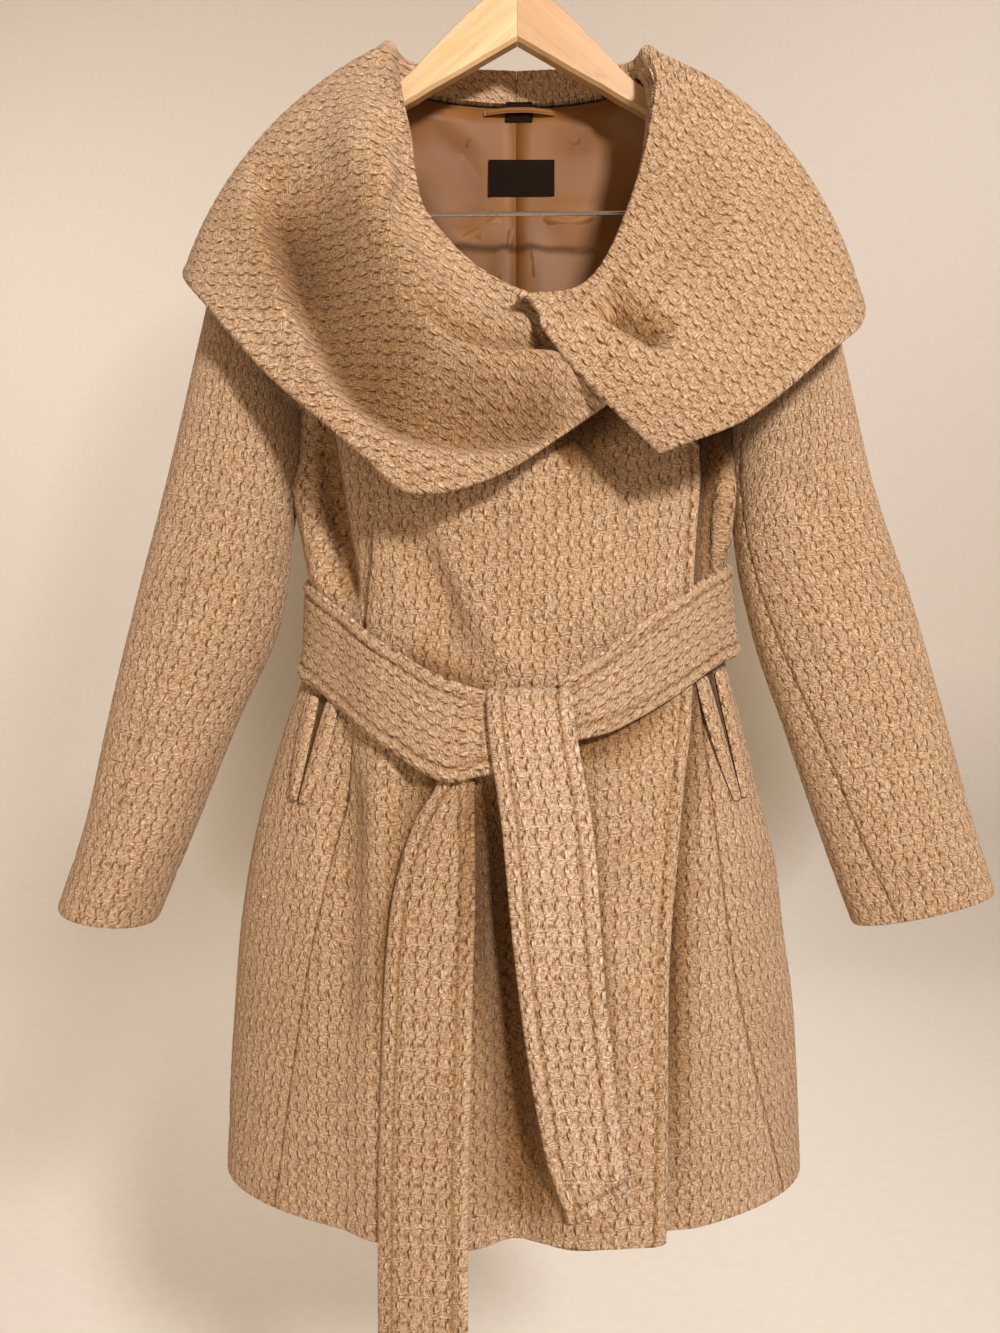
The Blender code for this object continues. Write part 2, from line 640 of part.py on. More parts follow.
def clear_of_coat(point):
    """The fall lies outside the coat: a point too near the body is moved out."""
    x, y, z = point
    sign = 1 if x > 0 else -1
    if z < UNDERARM_Z - 0.05 or abs(x) > half_width(z, sign) or z > shoulder_z(x) - 0.002:
        return point
    back = y > 0
    lift = None if back else lap_lift
    coat, facing = on_coat([(sign, turn_at(x, z, back), z)], back, lift=lift, folds=False)
    off = (point - coat[0]).dot(facing[0])
    return point + facing[0] * max(DOUBLED + FALL_GAP - off, 0.0)


def station_points(side, station):
    """One section of the collar: up the stand, round the roll, down the fall."""
    roll, middle, edge, away = (Vector([station[letter + axis] for axis in "xyz"]) for letter in "rmfo")
    neck = neck_point(side, station["neck"])
    hanging = ramp(station["neck"], COLLAR_END_NECK[side], COLLAR_END_NECK[side] + 0.12)
    up = (roll - neck).normalized()
    if station["neck"] > 1.04:
        x, z = neck.x, neck.z
        away = on_coat([(1 if x > 0 else -1, turn_at(x, z), z)], folds=False)[1][0]
    away = (away - up * away.dot(up)).normalized()
    neck = neck + up * NECK_RISE - away * NECK_STEP
    neck = neck.lerp(roll - up * 1.4 * ROLL_RADIUS, hanging)
    foot = roll - up * ROLL_RADIUS
    centre = foot + away * ROLL_RADIUS
    points = [neck, neck.lerp(foot, 0.5)]
    for k in range(ROLL_STEPS + 1):
        angle = math.pi * k / ROLL_STEPS
        spot = centre + (up * math.sin(angle) - away * math.cos(angle)) * ROLL_RADIUS
        points.append(clear_of_coat(spot) if k > ROLL_STEPS / 2 else spot)
    start = points[-1]
    pull = middle * 2 - (start + edge) / 2
    for t in (0.2, 0.4, 0.6, 0.8, 1.0):
        points.append(clear_of_coat(start * (1 - t)**2 + pull * 2 * t * (1 - t) + edge * t**2))
    return points, away


def station_between(table, where):
    """Catmull-Rom curve through the stations."""
    k = min(int(where), len(table) - 2)
    t = where - k
    four = [table[min(max(k + i, 0), len(table) - 1)] for i in (-1, 0, 1, 2)]
    mixed = {}
    for column in table[0]:
        p0, p1, p2, p3 = (row[column] for row in four)
        mixed[column] = 0.5 * (2 * p1 + (p2 - p0) * t + (2 * p0 - 5 * p1 + 4 * p2 - p3) * t**2
                               + (3 * p1 - p0 - 3 * p2 + p3) * t**3)
    return mixed


def build_collars():
    for side, sign in (("left", -1), ("right", 1)):
        table = COLLARS[side]
        steps = 2 * (len(table) - 1)
        sections = [station_points(side, station_between(table, k / 2)) for k in range(steps + 1)]
        grid = [points for points, _ in sections]
        for point in grid[0]:
            point.x = sign * SEAM / 2
        normals = normals_of(grid)
        if normals[0][-2].y < 0:
            normals = [[-n for n in line] for line in normals]
        for line, (_, away) in zip(normals, sections):
            line[0] = -away
        normals[0] = [Vector((0, n.y, n.z)).normalized() for n in normals[0]]
        wall(f"collar_{side}", grid, DOUBLED, normals)


# ---------------------------------------------------------------- belt
def turned_normals(grid, facing):
    normals = normals_of(grid)
    middle = normals[len(grid) // 2][len(grid[0]) // 2]
    if middle.dot(Vector(facing)) < 0:
        normals = [[-n for n in line] for line in normals]
    return normals


def belt_column(x, z, half, lift, sign, back=False, turn=None):
    """Points across the belt's width, on the coat without its folds."""
    points = []
    for k in range(5):
        height = z + half * (k / 2 - 1)
        here = turn if turn is not None else turn_at(x, height, back)
        out = lift + DOUBLED + (0.0 if back else lap_lift(x, height))
        point, _ = on_coat([(sign, here, height)], back, out, folds=False)
        points.append(point[0])
    return points


def build_belt():
    for name, table, sign in (("belt_left", BELT_LEFT, -1), ("belt_right", BELT_RIGHT, 1)):
        inner_x = table[-1]["x"] if sign < 0 else table[0]["x"]
        last = turn_at(inner_x, -0.62)
        grid = []
        for k in range(13):
            turn = last * k / 12
            x = surface(turn, read(BODY, "z", -0.57, "z"), sign, folds=False).x
            at = [read(table, "x", x, column) for column in ("z", "half", "lift")]
            grid.append(belt_column(x, *at, sign, turn=0.0 if k == 0 else None))
        normals = turned_normals(grid, (0, -1, 0))
        normals[0] = [Vector((sign, 0, 0))] * 5
        wall(name, grid, DOUBLED, normals)
    ends = BELT_LEFT[0], BELT_RIGHT[-1]
    grid = []
    for k in range(19):
        around = math.pi * k / 18
        sign = -1 if around < math.pi / 2 else 1
        turn = around if sign < 0 else math.pi - around
        t = k / 18
        z = lerp(ends[0]["z"], ends[1]["z"], t)
        half = lerp(BELT_WIDTH / 2, ends[0]["half"], abs(math.cos(around)) ** 3)
        column = belt_column(0, z, half, ends[0]["lift"], sign, True, turn)
        if k in (0, 18):
            column = [p + Vector((0, SEAM, 0)) for p in column]
        grid.append(column)
    normals = turned_normals(grid, (0, 1, 0))
    normals[0], normals[-1] = [Vector((-1, 0, 0))] * 5, [Vector((1, 0, 0))] * 5
    wall("belt_back", grid, DOUBLED, normals)
    build_tails()


def tail_row(table, z, level, slant=0.0, width_from=None):
    """Row of points across a tail, `level` in front of the unfolded over front."""
    left, right = (read(table, "z", width_from or z, column) for column in ("left", "right"))
    row = []
    for k in range(4):
        x = lerp(left, right, k / 3)
        height = max(z, HEM_Z + 0.001)
        sign = 1 if x > 0 else -1
        y = surface(turn_at(x, height), height, sign, folds=False).y - lap_lift(x, height)
        y -= max(fold_depth(x, height), 0.0)
        row.append(Vector((x, y - level, z + slant * k / 3)))
    return row


def build_tails():
    behind = DOUBLED + REST + 0.0006
    heights = [-0.645, -0.668, -0.69, -0.712, -0.745, -0.78, -0.83, -0.88, -0.93, -0.968, -1.03, TAIL_END_Z]
    grid = [tail_row(LONG_TAIL, z, behind) for z in heights]
    wall("belt_tail_long", grid, DOUBLED, turned_normals(grid, (0, -1, 0)))

    near, far = REST + 0.0004, 0.0205
    radius = (far - near) / 2
    centre_z = KNOT_TOP_Z - radius
    grid = [tail_row(FRONT_TAIL, centre_z - 0.018, near, width_from=centre_z)]
    for k in range(7):
        angle = math.pi * k / 6
        grid.append(tail_row(FRONT_TAIL, centre_z + radius * math.sin(angle),
                             near + radius * (1 - math.cos(angle)), width_from=centre_z))
    for z in (-0.64, -0.665, -0.69, -0.72, -0.76, -0.80, -0.84, -0.88, -0.918):
        level = lerp(far, 0.0078, ramp(-z, 0.66, 0.80))
        grid.append(tail_row(FRONT_TAIL, z, level))
    grid.append(tail_row(FRONT_TAIL, FRONT_TAIL_END_Z, 0.0078, slant=FRONT_TAIL_SLANT))
    normals = normals_of(grid)
    if normals[-3][1].y > 0:
        normals = [[-n for n in line] for line in normals]
    wall("belt_tail_front", grid, DOUBLED, normals)


# ---------------------------------------------------------------- pockets, lining, label
def build_welts():
    thick = 0.0018
    for pocket in POCKETS:
        top = Vector((pocket["top_x"], pocket["top_z"]))
        foot = Vector((pocket["foot_x"], pocket["foot_z"]))
        along = (foot - top).normalized()
        aside = Vector((-along.y, along.x))
        sign = -1 if pocket["side"] == "left" else 1
        for name, low, high in (("front", 0.0004, WELT_WIDTH), ("back", -WELT_WIDTH, -0.0004)):
            if sign > 0:
                low, high = -high, -low
            grid = []
            for k in range(6):
                spot = top.lerp(foot, k / 5)
                line = []
                for m in range(3):
                    x, z = spot + aside * lerp(low, high, m / 2)
                    line.append((sign, turn_at(x, z), z))
                grid.append(on_coat(line, out=0.0008 + thick))
            wall(f"welt_{pocket['side']}_{name}", [points for points, _ in grid], thick,
                 [normals for _, normals in grid])


def build_lining():
    depth = CLOTH + REST
    levels = range(len(LEVELS_BELOW) - 1, len(LEVELS_BELOW) + len(SHARES) - 1)
    for name, sign in (("lining_back_left", -1), ("lining_back_right", 1)):
        grid, normals = [], []
        ends = side_ends(sign)
        for level in levels:
            line = back_row(sign, level, ends[level][1])[1:]
            points, turned = on_coat(line, back=True, out=-depth)
            points[-1].x = sign * SEAM / 2
            turned[-1] = Vector((0, turned[-1].y, turned[-1].z)).normalized()
            grid.append(points)
            normals.append(turned)
        wall(name, grid, LINING, normals, "satin")


def back_face(x, z, depth):
    """Point on the back's inner side, `depth` in from its outer face, and the way it faces."""
    points, turned = on_coat([(1 if x > 0 else -1, turn_at(x, z, True), z)], back=True, out=-depth)
    return points[0], -turned[0]


def build_label():
    """The label and the small tab lie on the lining, the loop hangs slack before it."""
    lining_face = CLOTH + REST + LINING
    for name, xs, zs, thick in (("neck_label", (-0.0223, 0.0288), (-0.2220, -0.1980), 0.0008),
                                ("size_tab", (-0.0090, 0.0126), (-0.1640, -0.1525), 0.0006)):
        lower, upper = zs
        grid, normals = [], []
        for k in range(3):
            z = lerp(lower, upper, k / 2)
            line = [back_face(lerp(*xs, m / 4), z, lining_face + REST + thick) for m in range(5)]
            grid.append([point for point, _ in line])
            normals.append([facing for _, facing in line])
        wall(name, grid, thick, normals, "label")
    ends, rise, slack, thick, crown = (-0.0254, 0.0296), 0.0040, 0.0035, 0.0012, 0.0004
    grid = []
    for k in range(9):
        t = k / 8
        bow = math.sin(math.pi * t)
        x = lerp(*ends, t)
        z = -0.1575 + 0.0015 * bow
        y = back_face(x, z, lining_face + REST + thick)[0].y - slack * bow
        top, foot = Vector((x, y, z + rise / 2)), Vector((x, y, z - rise / 2))
        grid.append([top, (top + foot) / 2 - Vector((0, crown, 0)), foot])
    wall("hang_loop", grid, thick, turned_normals(grid, (0, -1, 0)), "satin")


# ---------------------------------------------------------------- hanger
def build_arms():
    cut = ARM_CHAMFER
    for name, sign in (("hanger_arm_left", -1), ("hanger_arm_right", 1)):
        points, faces = [], []
        for row in HANGER_ARM:
            x = sign * max(row["x"], SEAM / 2)
            top, foot = row["top"], row["foot"]
            half = lerp(ARM_THICKNESS / 2, ARM_END_HALF, ramp(row["x"], 0.10, 0.19))
            for y, z in ((-half, foot + cut), (-half, top - cut), (cut - half, top), (half - cut, top),
                         (half, top - cut), (half, foot + cut), (half - cut, foot), (cut - half, foot)):
                points.append(Vector((x, y, z)))
        for i in range(len(HANGER_ARM) - 1):
            for k in range(8):
                a, b = i * 8 + k, i * 8 + (k + 1) % 8
                faces += [(a, b, b + 8), (a, b + 8, a + 8)]
        last = (len(HANGER_ARM) - 1) * 8
        faces += [(0, k + 1, k) for k in range(1, 7)]
        faces += [(last, last + k, last + k + 1) for k in range(1, 7)]
        if volume(points, faces) < 0:
            faces = [tuple(reversed(face)) for face in faces]
        solid(name, points, faces, "beech")


def tube(name, route, radius, rounds):
    curve = bpy.data.curves.new(name, "CURVE")
    curve.dimensions = "3D"
    curve.bevel_depth = radius
    curve.bevel_resolution = rounds
    curve.use_fill_caps = True
    spline = curve.splines.new("POLY")
    spline.points.add(len(route) - 1)
    for spot, place in zip(spline.points, route):
        spot.co = (*place, 1.0)
    piece = bpy.data.objects.new(name, curve)
    bpy.context.collection.objects.link(piece)
    curve.materials.append(FINISHES["steel"]("steel"))
    return piece


def bar_end(sign):
    """Where the bar meets the slanted underside of an arm."""
    inner, outer = HANGER_ARM[-3:-1]
    z = BAR_Z + sign * BAR_TILT
    t = (z + BAR_RADIUS - inner["foot"]) / (outer["foot"] - inner["foot"])
    return sign * (lerp(inner["x"], outer["x"], t) - BAR_SEAT), 0, z


def build_bar_and_hook():
    tube("hanger_bar", [bar_end(-1), bar_end(1)], BAR_RADIUS, 3)
    around = HOOK_RADIUS + HOOK_WIRE
    centre_z = HOOK_WIRE - around
    route = []
    for k in range(19):
        angle = math.radians(lerp(212, -42, k / 18))
        route.append((around * math.cos(angle), 0, centre_z + around * math.sin(angle)))
    start = Vector(route[-1])
    heading = (start - Vector(route[-2])).normalized()
    foot = Vector((0, 0, SHANK_TOP_Z))
    for k in range(1, 9):
        t = k / 8
        pulls = start + heading * 0.012, foot + Vector((0, 0, 0.007))
        route.append(tuple(start * (1 - t)**3 + pulls[0] * 3 * t * (1 - t)**2
                           + pulls[1] * 3 * t**2 * (1 - t) + foot * t**3))
    route.append((0, 0, HANGER_ARM[0]["top"] + SEAM))
    tube("hanger_hook", route, HOOK_WIRE, 3)


def build_all():
    build_fronts()
    build_backs()
    build_sleeves()
    build_collars()
    build_belt()
    build_welts()
    build_lining()
    build_label()
    build_arms()
    build_bar_and_hook()


for old in list(bpy.data.objects):
    bpy.data.objects.remove(old, do_unlink=True)
build_all()
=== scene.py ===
# %% [markdown]
# # A belted wrap coat on a wooden hanger
#
# The coat is cut from a thick camel cloth whose weave stands up in small leaf-shaped bumps.
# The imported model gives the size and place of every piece. This lesson dresses each piece:
# the cloth gets its weave, folds, seams and turned edges, and the hanger gets its wood and steel.

import math

import bpy
import numpy as np
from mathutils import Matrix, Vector


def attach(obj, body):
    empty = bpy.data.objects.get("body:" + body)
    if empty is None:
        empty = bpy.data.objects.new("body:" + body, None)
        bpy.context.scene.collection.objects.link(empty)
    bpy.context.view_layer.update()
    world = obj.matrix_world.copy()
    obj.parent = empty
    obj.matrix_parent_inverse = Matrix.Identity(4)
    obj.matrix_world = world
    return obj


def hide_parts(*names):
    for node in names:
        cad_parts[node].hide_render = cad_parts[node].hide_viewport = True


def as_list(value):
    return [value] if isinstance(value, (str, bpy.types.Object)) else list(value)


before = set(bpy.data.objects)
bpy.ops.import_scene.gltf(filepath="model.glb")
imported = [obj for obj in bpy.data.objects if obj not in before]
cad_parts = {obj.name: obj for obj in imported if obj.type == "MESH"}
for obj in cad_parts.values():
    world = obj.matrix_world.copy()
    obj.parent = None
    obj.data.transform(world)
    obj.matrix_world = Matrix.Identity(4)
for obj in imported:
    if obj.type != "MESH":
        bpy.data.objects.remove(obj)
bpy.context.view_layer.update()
print("packed nodes:", len(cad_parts))

# %% [markdown]
# ## The coat's own sizes
#
# A pattern cutter works from a few lengths: hem, underarm, neck point, shoulder. The same
# lengths are repeated here, because the fine cloth has to lie on the solids that carry it.

# %% Driving sizes, in metres
CLOTH = 0.003
DOUBLED = 0.005
LINING = 0.001
SEAM = 0.0003
REST = 0.0006
HEM_Z = -0.972
UNDERARM_Z = -0.395
LAP_TOP_Z = -0.430
WAIST_Z = -0.57
NECK_X = 0.0945
BACK_NECK_Z = -0.152
SHOULDER_SEAM_X = 0.145
SHOULDER_HALF = 0.207
BELT_WIDTH = 0.058
FRONT_POWER = 1.7
BACK_POWER = 3.0
BACK_TOP_Y = 0.037
ROOF_RADIUS = 0.0135
FRONT_FALL = 0.032
BACK_FALL = 0.022
LAP = 0.0065
SKIRT_LAP = 0.010
FINE = 0.0018            # spacing of the cloth's points where it shows most
COARSE = 0.0026          # and at the back
print("coat length:", round(BACK_NECK_Z - HEM_Z, 3), "m from nape to hem")


# %% Short tables: one row for each height or station
def rows(columns, *lines):
    names = columns.split()
    return [dict(zip(names, line)) for line in lines]


def millimetres(columns, *lines, bare="side neck ox oy oz"):
    """The same for lengths in millimetres; bare names the columns that hold none."""
    return [{name: value if name in bare.split() else value / 1000 for name, value in row.items()}
            for row in rows(columns, *lines)]


BODY = rows(
    "z      left   right  front   back   side",
    (HEM_Z, 0.222, 0.217, -0.094, 0.042, 0.020),
    (-0.90, 0.219, 0.214, -0.093, 0.042, 0.018),
    (-0.84, 0.215, 0.210, -0.091, 0.042, 0.016),
    (-0.79, 0.211, 0.203, -0.089, 0.041, 0.015),
    (-0.735, 0.203, 0.196, -0.086, 0.040, 0.013),
    (-0.68, 0.190, 0.182, -0.081, 0.038, 0.011),
    (-0.634, 0.176, 0.171, -0.075, 0.036, 0.010),
    (WAIST_Z, 0.156, 0.1545, -0.066, 0.033, 0.008),
    (-0.52, 0.155, 0.1500, -0.066, 0.034, 0.008),
    (-0.45, 0.161, 0.159, -0.070, 0.036, 0.008),
    (UNDERARM_Z, 0.162, 0.160, -0.066, 0.036, 0.008))

ARMHOLE = rows(
    "share half   front   front_edge back_edge",
    (0.00, 0.162, -0.066, 0.008, 0.008),
    (0.06, 0.160, -0.065, -0.016, 0.022),
    (0.20, 0.158, -0.063, -0.032, 0.031),
    (0.40, 0.157, -0.060, -0.036, 0.034),
    (0.62, 0.166, -0.057, -0.036, 0.034),
    (0.80, 0.184, -0.055, -0.036, 0.034),
    (0.90, 0.195, -0.054, -0.036, 0.034),
    (0.955, 0.201, -0.054, -0.036, 0.034),
    (0.987, 0.205, -0.054, -0.036, 0.034),
    (1.00, SHOULDER_HALF, -0.054, -0.036, 0.034))

SHOULDER = rows(
    "x      z",
    (0.000, -0.0900), (0.070, -0.1300), (NECK_X, -0.1490),
    (0.133, -0.1725), (0.182, -0.2090), (SHOULDER_HALF, -0.2360))

OVER_NECKLINE = rows(
    "share x       z",
    (0.00, 0.075, -0.407), (0.06, 0.045, -0.399), (0.20, -0.003, -0.364),
    (0.40, -0.038, -0.336), (0.62, -0.081, -0.290), (0.80, -0.0905, -0.243),
    (0.90, -0.0955, -0.193), (0.955, -0.0955, -0.168), (0.987, -0.0950, -0.154),
    (1.00, -NECK_X, -0.149))

UNDER_NECKLINE = rows(
    "share x       z",
    (0.00, -0.070, -0.412), (0.06, -0.030, -0.398), (0.20, 0.008, -0.368),
    (0.40, 0.042, -0.352), (0.62, 0.075, -0.320), (0.80, 0.097, -0.266),
    (0.90, 0.104, -0.208), (0.955, 0.0985, -0.172), (0.987, 0.0950, -0.155),
    (1.00, NECK_X, -0.149))

OVERLAP_EDGE = rows(
    "z      x",
    (HEM_Z, 0.0885), (-0.80, 0.0935), (-0.70, 0.1055), (-0.60, 0.1190), (-0.52, 0.1210),
    (LAP_TOP_Z, 0.1255))
PRINCESS = rows(
    "z      left    right",
    (HEM_Z, 0.174, 0.194), (-0.80, 0.148, 0.152), (-0.68, 0.123, 0.138), (-0.57, 0.108, 0.132),
    (-0.45, 0.098, 0.134), (UNDERARM_Z, 0.099, 0.136))
UNDER_EDGE_X = -0.090

FOLDS = rows(
    "x1     z1      x2      z2     width  depth",
    (-0.006, -0.650, -0.004, -0.990, 0.024, -0.020),   # hollow between the belt's tails
    (-0.122, -0.630, -0.128, -0.760, 0.014, -0.008),   # under the belt's left stretch
    (0.050, -0.640, 0.060, -0.990, 0.040, 0.005),      # front carried by the short tail
    (-0.148, -0.400, -0.118, -0.545, 0.010, -0.011),   # beside the left side's roll
    (0.140, -0.420, 0.142, -0.560, 0.010, -0.014),     # beyond the lapped edge
    (-0.060, -0.480, -0.030, -0.600, 0.022, -0.010),   # chest drape, valley
    (-0.010, -0.500, 0.060, -0.570, 0.024, 0.007))     # chest drape, ridge
LEVELS_BELOW = (HEM_Z, -0.89, -0.81, -0.745, -0.70, -0.66, -0.62, -0.58, -0.535, -0.485, LAP_TOP_Z)
SHARES = [row["share"] for row in ARMHOLE]


# %% [markdown]
# ## Small maths
#
# A table gives a few sections only. `read` runs a smooth curve through one column of it and
# never overshoots, so that a waist stays the narrowest place. It works on whole arrays, since
# a panel has tens of thousands of points.

# %% Curves through the tables
def curve(xs, ys, slopes, at):
    """Values at some places of the smooth curve through ys at xs, with those slopes there."""
    k = np.clip(np.searchsorted(xs, at, side="right") - 1, 0, len(xs) - 2)
    h = xs[k + 1] - xs[k]
    t = (at - xs[k]) / h
    h, t = (value.reshape(value.shape + (1,) * (ys.ndim - 1)) for value in (h, t))
    return ((2 * t**3 - 3 * t**2 + 1) * ys[k] + (t**3 - 2 * t**2 + t) * h * slopes[k]
            + (3 * t**2 - 2 * t**3) * ys[k + 1] + (t**3 - t**2) * h * slopes[k + 1])


def read(table, key, at, name):
    """One column of a table, read at places of another one."""
    pairs = sorted((row[key], row[name]) for row in table)
    xs, ys = (np.array(column, float) for column in zip(*pairs))
    chords = np.diff(ys) / np.diff(xs)
    slopes = np.concatenate([chords[:1], np.zeros(len(xs) - 2), chords[-1:]])
    before, after = chords[:-1], chords[1:]
    same_way = before * after > 0
    slopes[1:-1][same_way] = (2 * before * after)[same_way] / (before + after)[same_way]
    return curve(xs, ys, slopes, np.clip(np.asarray(at, float), xs[0], xs[-1]))


def lerp(a, b, t):
    return a + (b - a) * t


def ramp(t, low, high):
    t = np.clip((np.asarray(t, float) - low) / (high - low), 0.0, 1.0)
    return t * t * (3 - 2 * t)


def bell(distance, width):
    """1 on a line, and soon 0 beside it."""
    return np.exp(-(distance / width) ** 2)


def unit(vectors):
    return vectors / np.maximum(np.linalg.norm(vectors, axis=-1, keepdims=True), 1e-12)


def refine(grid, counts, beyond=0):
    """Smooth surface through a coarse grid of points, sampled evenly along both ways.

    The last `beyond` columns at either side only shape the curve."""
    grid = np.asarray(grid, float)
    for axis, count in enumerate(counts):
        spare = beyond if axis else 0
        grid = np.moveaxis(grid, axis, 0)
        steps = np.linalg.norm(np.diff(grid, axis=0)[..., :3], axis=-1).reshape(len(grid) - 1, -1)
        place = np.concatenate([[0.0], np.cumsum(steps.mean(1) + 1e-6)])
        gaps = np.diff(place).reshape((-1,) + (1,) * (grid.ndim - 1))
        chords = np.diff(grid, axis=0) / gaps
        inner = (chords[:-1] * gaps[1:] + chords[1:] * gaps[:-1]) / (gaps[1:] + gaps[:-1])
        slopes = np.concatenate([chords[:1], inner, chords[-1:]])
        at = np.linspace(place[spare], place[-1 - spare], count)
        grid = np.moveaxis(curve(place, grid, slopes, at), 0, axis)
    return grid


print("half width at the waist:", float(read(BODY, "z", WAIST_Z, "left")))


# %% [markdown]
# ## The coat's surface
#
# Hanging flat, a coat is a lens in section: a round front and a flatter back. Each level is
# half a superellipse, `turn` runs from the side to the middle of it, and near the shoulder
# line the cloth bends over the hanger's arms.

# %% Surface of the coat's body
def shoulder_z(x):
    return read(SHOULDER, "x", np.abs(x), "z")


def share_at(z):
    return (z - UNDERARM_Z) / (shoulder_z(SHOULDER_HALF) - UNDERARM_Z)


def half_width(z, sign):
    z, sign = np.broadcast_arrays(np.asarray(z, float), sign)
    below = np.where(sign > 0, read(BODY, "z", z, "right"), read(BODY, "z", z, "left"))
    narrower = np.where(sign > 0, 0.002 * (1 - share_at(z)), 0.0)
    above = read(ARMHOLE, "share", share_at(z), "half") - narrower
    return np.where(z <= UNDERARM_Z, below, above)


def fold_depth(x, z):
    total = np.zeros(np.broadcast(x, z).shape)
    for fold in FOLDS:
        dx, dz = fold["x2"] - fold["x1"], fold["z2"] - fold["z1"]
        along = ((x - fold["x1"]) * dx + (z - fold["z1"]) * dz) / (dx * dx + dz * dz)
        aside = np.hypot(x - fold["x1"] - along * dx, z - fold["z1"] - along * dz)
        if fold["z2"] > HEM_Z:
            ends = np.sin(math.pi * np.clip(along, 0, 1)) ** 0.7
        else:
            ends = ramp(along, 0.0, 0.35)
        there = (along > 0) & (along < 1.02)
        total += np.where(there, fold["depth"] * ends * bell(aside, fold["width"]), 0.0)
    return total


def roof(drop):
    drop = np.clip(drop, 0.0, ROOF_RADIUS)
    return np.sqrt(ROOF_RADIUS**2 - (ROOF_RADIUS - drop) ** 2)


def surface(turn, z, sign, back=False, folds=True):
    """Points of the coat: turn runs from 0 at the side to a quarter turn at the middle."""
    turn, z, sign = np.broadcast_arrays(np.asarray(turn, float), z, sign)
    power = BACK_POWER if back else FRONT_POWER
    x = sign * half_width(z, sign) * np.maximum(np.cos(turn), 0.0) ** (2 / power)
    share = share_at(z)
    edge = np.where(z <= UNDERARM_Z, read(BODY, "z", z, "side"),
                    read(ARMHOLE, "share", share, "back_edge" if back else "front_edge"))
    top = BACK_TOP_Y if back else read(ARMHOLE, "share", share, "front")
    middle = np.where(z <= UNDERARM_Z, read(BODY, "z", z, "back" if back else "front"), top)
    y = edge + (middle - edge) * np.maximum(np.sin(turn), 0.0) ** (2 / power)
    if folds and not back:
        y = y - fold_depth(x, z) * ramp(turn, 0.0, 0.45)
    drop = shoulder_z(x) - z
    reached = 1 - np.exp(-np.maximum(drop, 0) / (BACK_FALL if back else FRONT_FALL))
    upper = np.maximum(np.abs(y) * reached, roof(drop)) * (1 if back else -1)
    y = np.where(z > UNDERARM_Z, upper, y)
    return np.stack([x, y, z], -1)


def turn_at(x, z, back=False):
    sign = np.where(np.asarray(x) >= 0, 1, -1)
    share = np.minimum(np.abs(x) / half_width(z, sign), 1.0)
    return np.arccos(share ** ((BACK_POWER if back else FRONT_POWER) / 2))


def on_coat(sign, turn, z, back=False, out=0.0, folds=True):
    """Points of the coat's surface moved out, and the ways that it faces there."""
    here = surface(turn, z, sign, back, folds)
    low, high = np.maximum(turn - 0.03, 0.0), np.minimum(turn + 0.03, math.pi / 2)
    across = (surface(high, z, sign, back, folds) - surface(low, z, sign, back, folds))
    across = across * -np.asarray(sign, float)[..., None]
    along = surface(turn, z + 0.004, sign, back, folds) - surface(turn, z - 0.004, sign, back, folds)
    normal = unit(np.cross(across, along)) * (-1 if back else 1)
    top = (shoulder_z(here[..., 0]) - z < 1e-4) & (np.abs(here[..., 0]) >= NECK_X - 1e-4)
    here[..., 1] = np.where(top, SEAM / 2 if back else -SEAM / 2, here[..., 1])
    normal[..., 1] = np.where(top, 0.0, normal[..., 1])
    normal = unit(normal)
    return here + normal * np.asarray(out)[..., None], normal


def lap_lift(x, z):
    """How far the over front stands off, where it lies over the under front."""
    return LAP * ramp(x, -0.125, -0.096) + SKIRT_LAP * ramp(x, 0.0, 0.09) * ramp(-z, 0.62, 0.95)


print("chest stands", round(float(-surface(math.pi / 2, -0.45, 1)[1]), 3), "m before the hanger")


# %% [markdown]
# ## The weave
#
# Short slanting leaves of yarn stand up side by side. A dark slit curves round one side of each
# leaf, a smaller one tucks in beyond it, and loose cross strands fill the rest. The same
# functions take arrays, for the broad swelling that moves the points of a mesh, and a
# material's numbers, for the fine relief that is built from Math nodes, so both agree.

# %% Numbers that build Math nodes
def new_node(tree, kind, inputs, **settings):
    """Adds a node whose inputs get a value each, or the output of another node."""
    node = tree.nodes.new("ShaderNode" + kind)
    for name, value in settings.items():
        setattr(node, name, value)
    for key, value in inputs.items():
        if isinstance(value, Number):
            value = value.socket
        if isinstance(value, bpy.types.NodeSocket):
            tree.links.new(value, node.inputs[key])
        else:
            node.inputs[key].default_value = value
    return node


def arithmetic(operation):
    return lambda number, other: number.math(operation, other)


class Number:
    """A value inside a material. Arithmetic with it adds Math nodes to the tree."""

    def __init__(self, tree, socket):
        self.tree = tree
        self.socket = socket

    def math(self, operation, *others):
        inputs = dict(enumerate((self, *others)))
        return Number(self.tree, new_node(self.tree, "Math", inputs, operation=operation).outputs[0])

    def __rsub__(self, other):
        return self * -1.0 + other

    __add__ = __radd__ = arithmetic("ADD")
    __sub__ = arithmetic("SUBTRACT")
    __mul__ = __rmul__ = arithmetic("MULTIPLY")
    __truediv__ = arithmetic("DIVIDE")
    __pow__ = arithmetic("POWER")


def sine(value):
    return value.math("SINE") if isinstance(value, Number) else np.sin(value)


def size_of(value):
    return value.math("ABSOLUTE") if isinstance(value, Number) else np.abs(value)


def clipped(number, low, high=None):
    number = number.math("MAXIMUM", low)
    return number if high is None else number.math("MINIMUM", high)


# %% The relief of the cloth
REPEAT_U = 0.0084        # across a leaf
REPEAT_V = 0.0114        # along a leaf and its cross row
FULL_TURN = 2 * math.pi


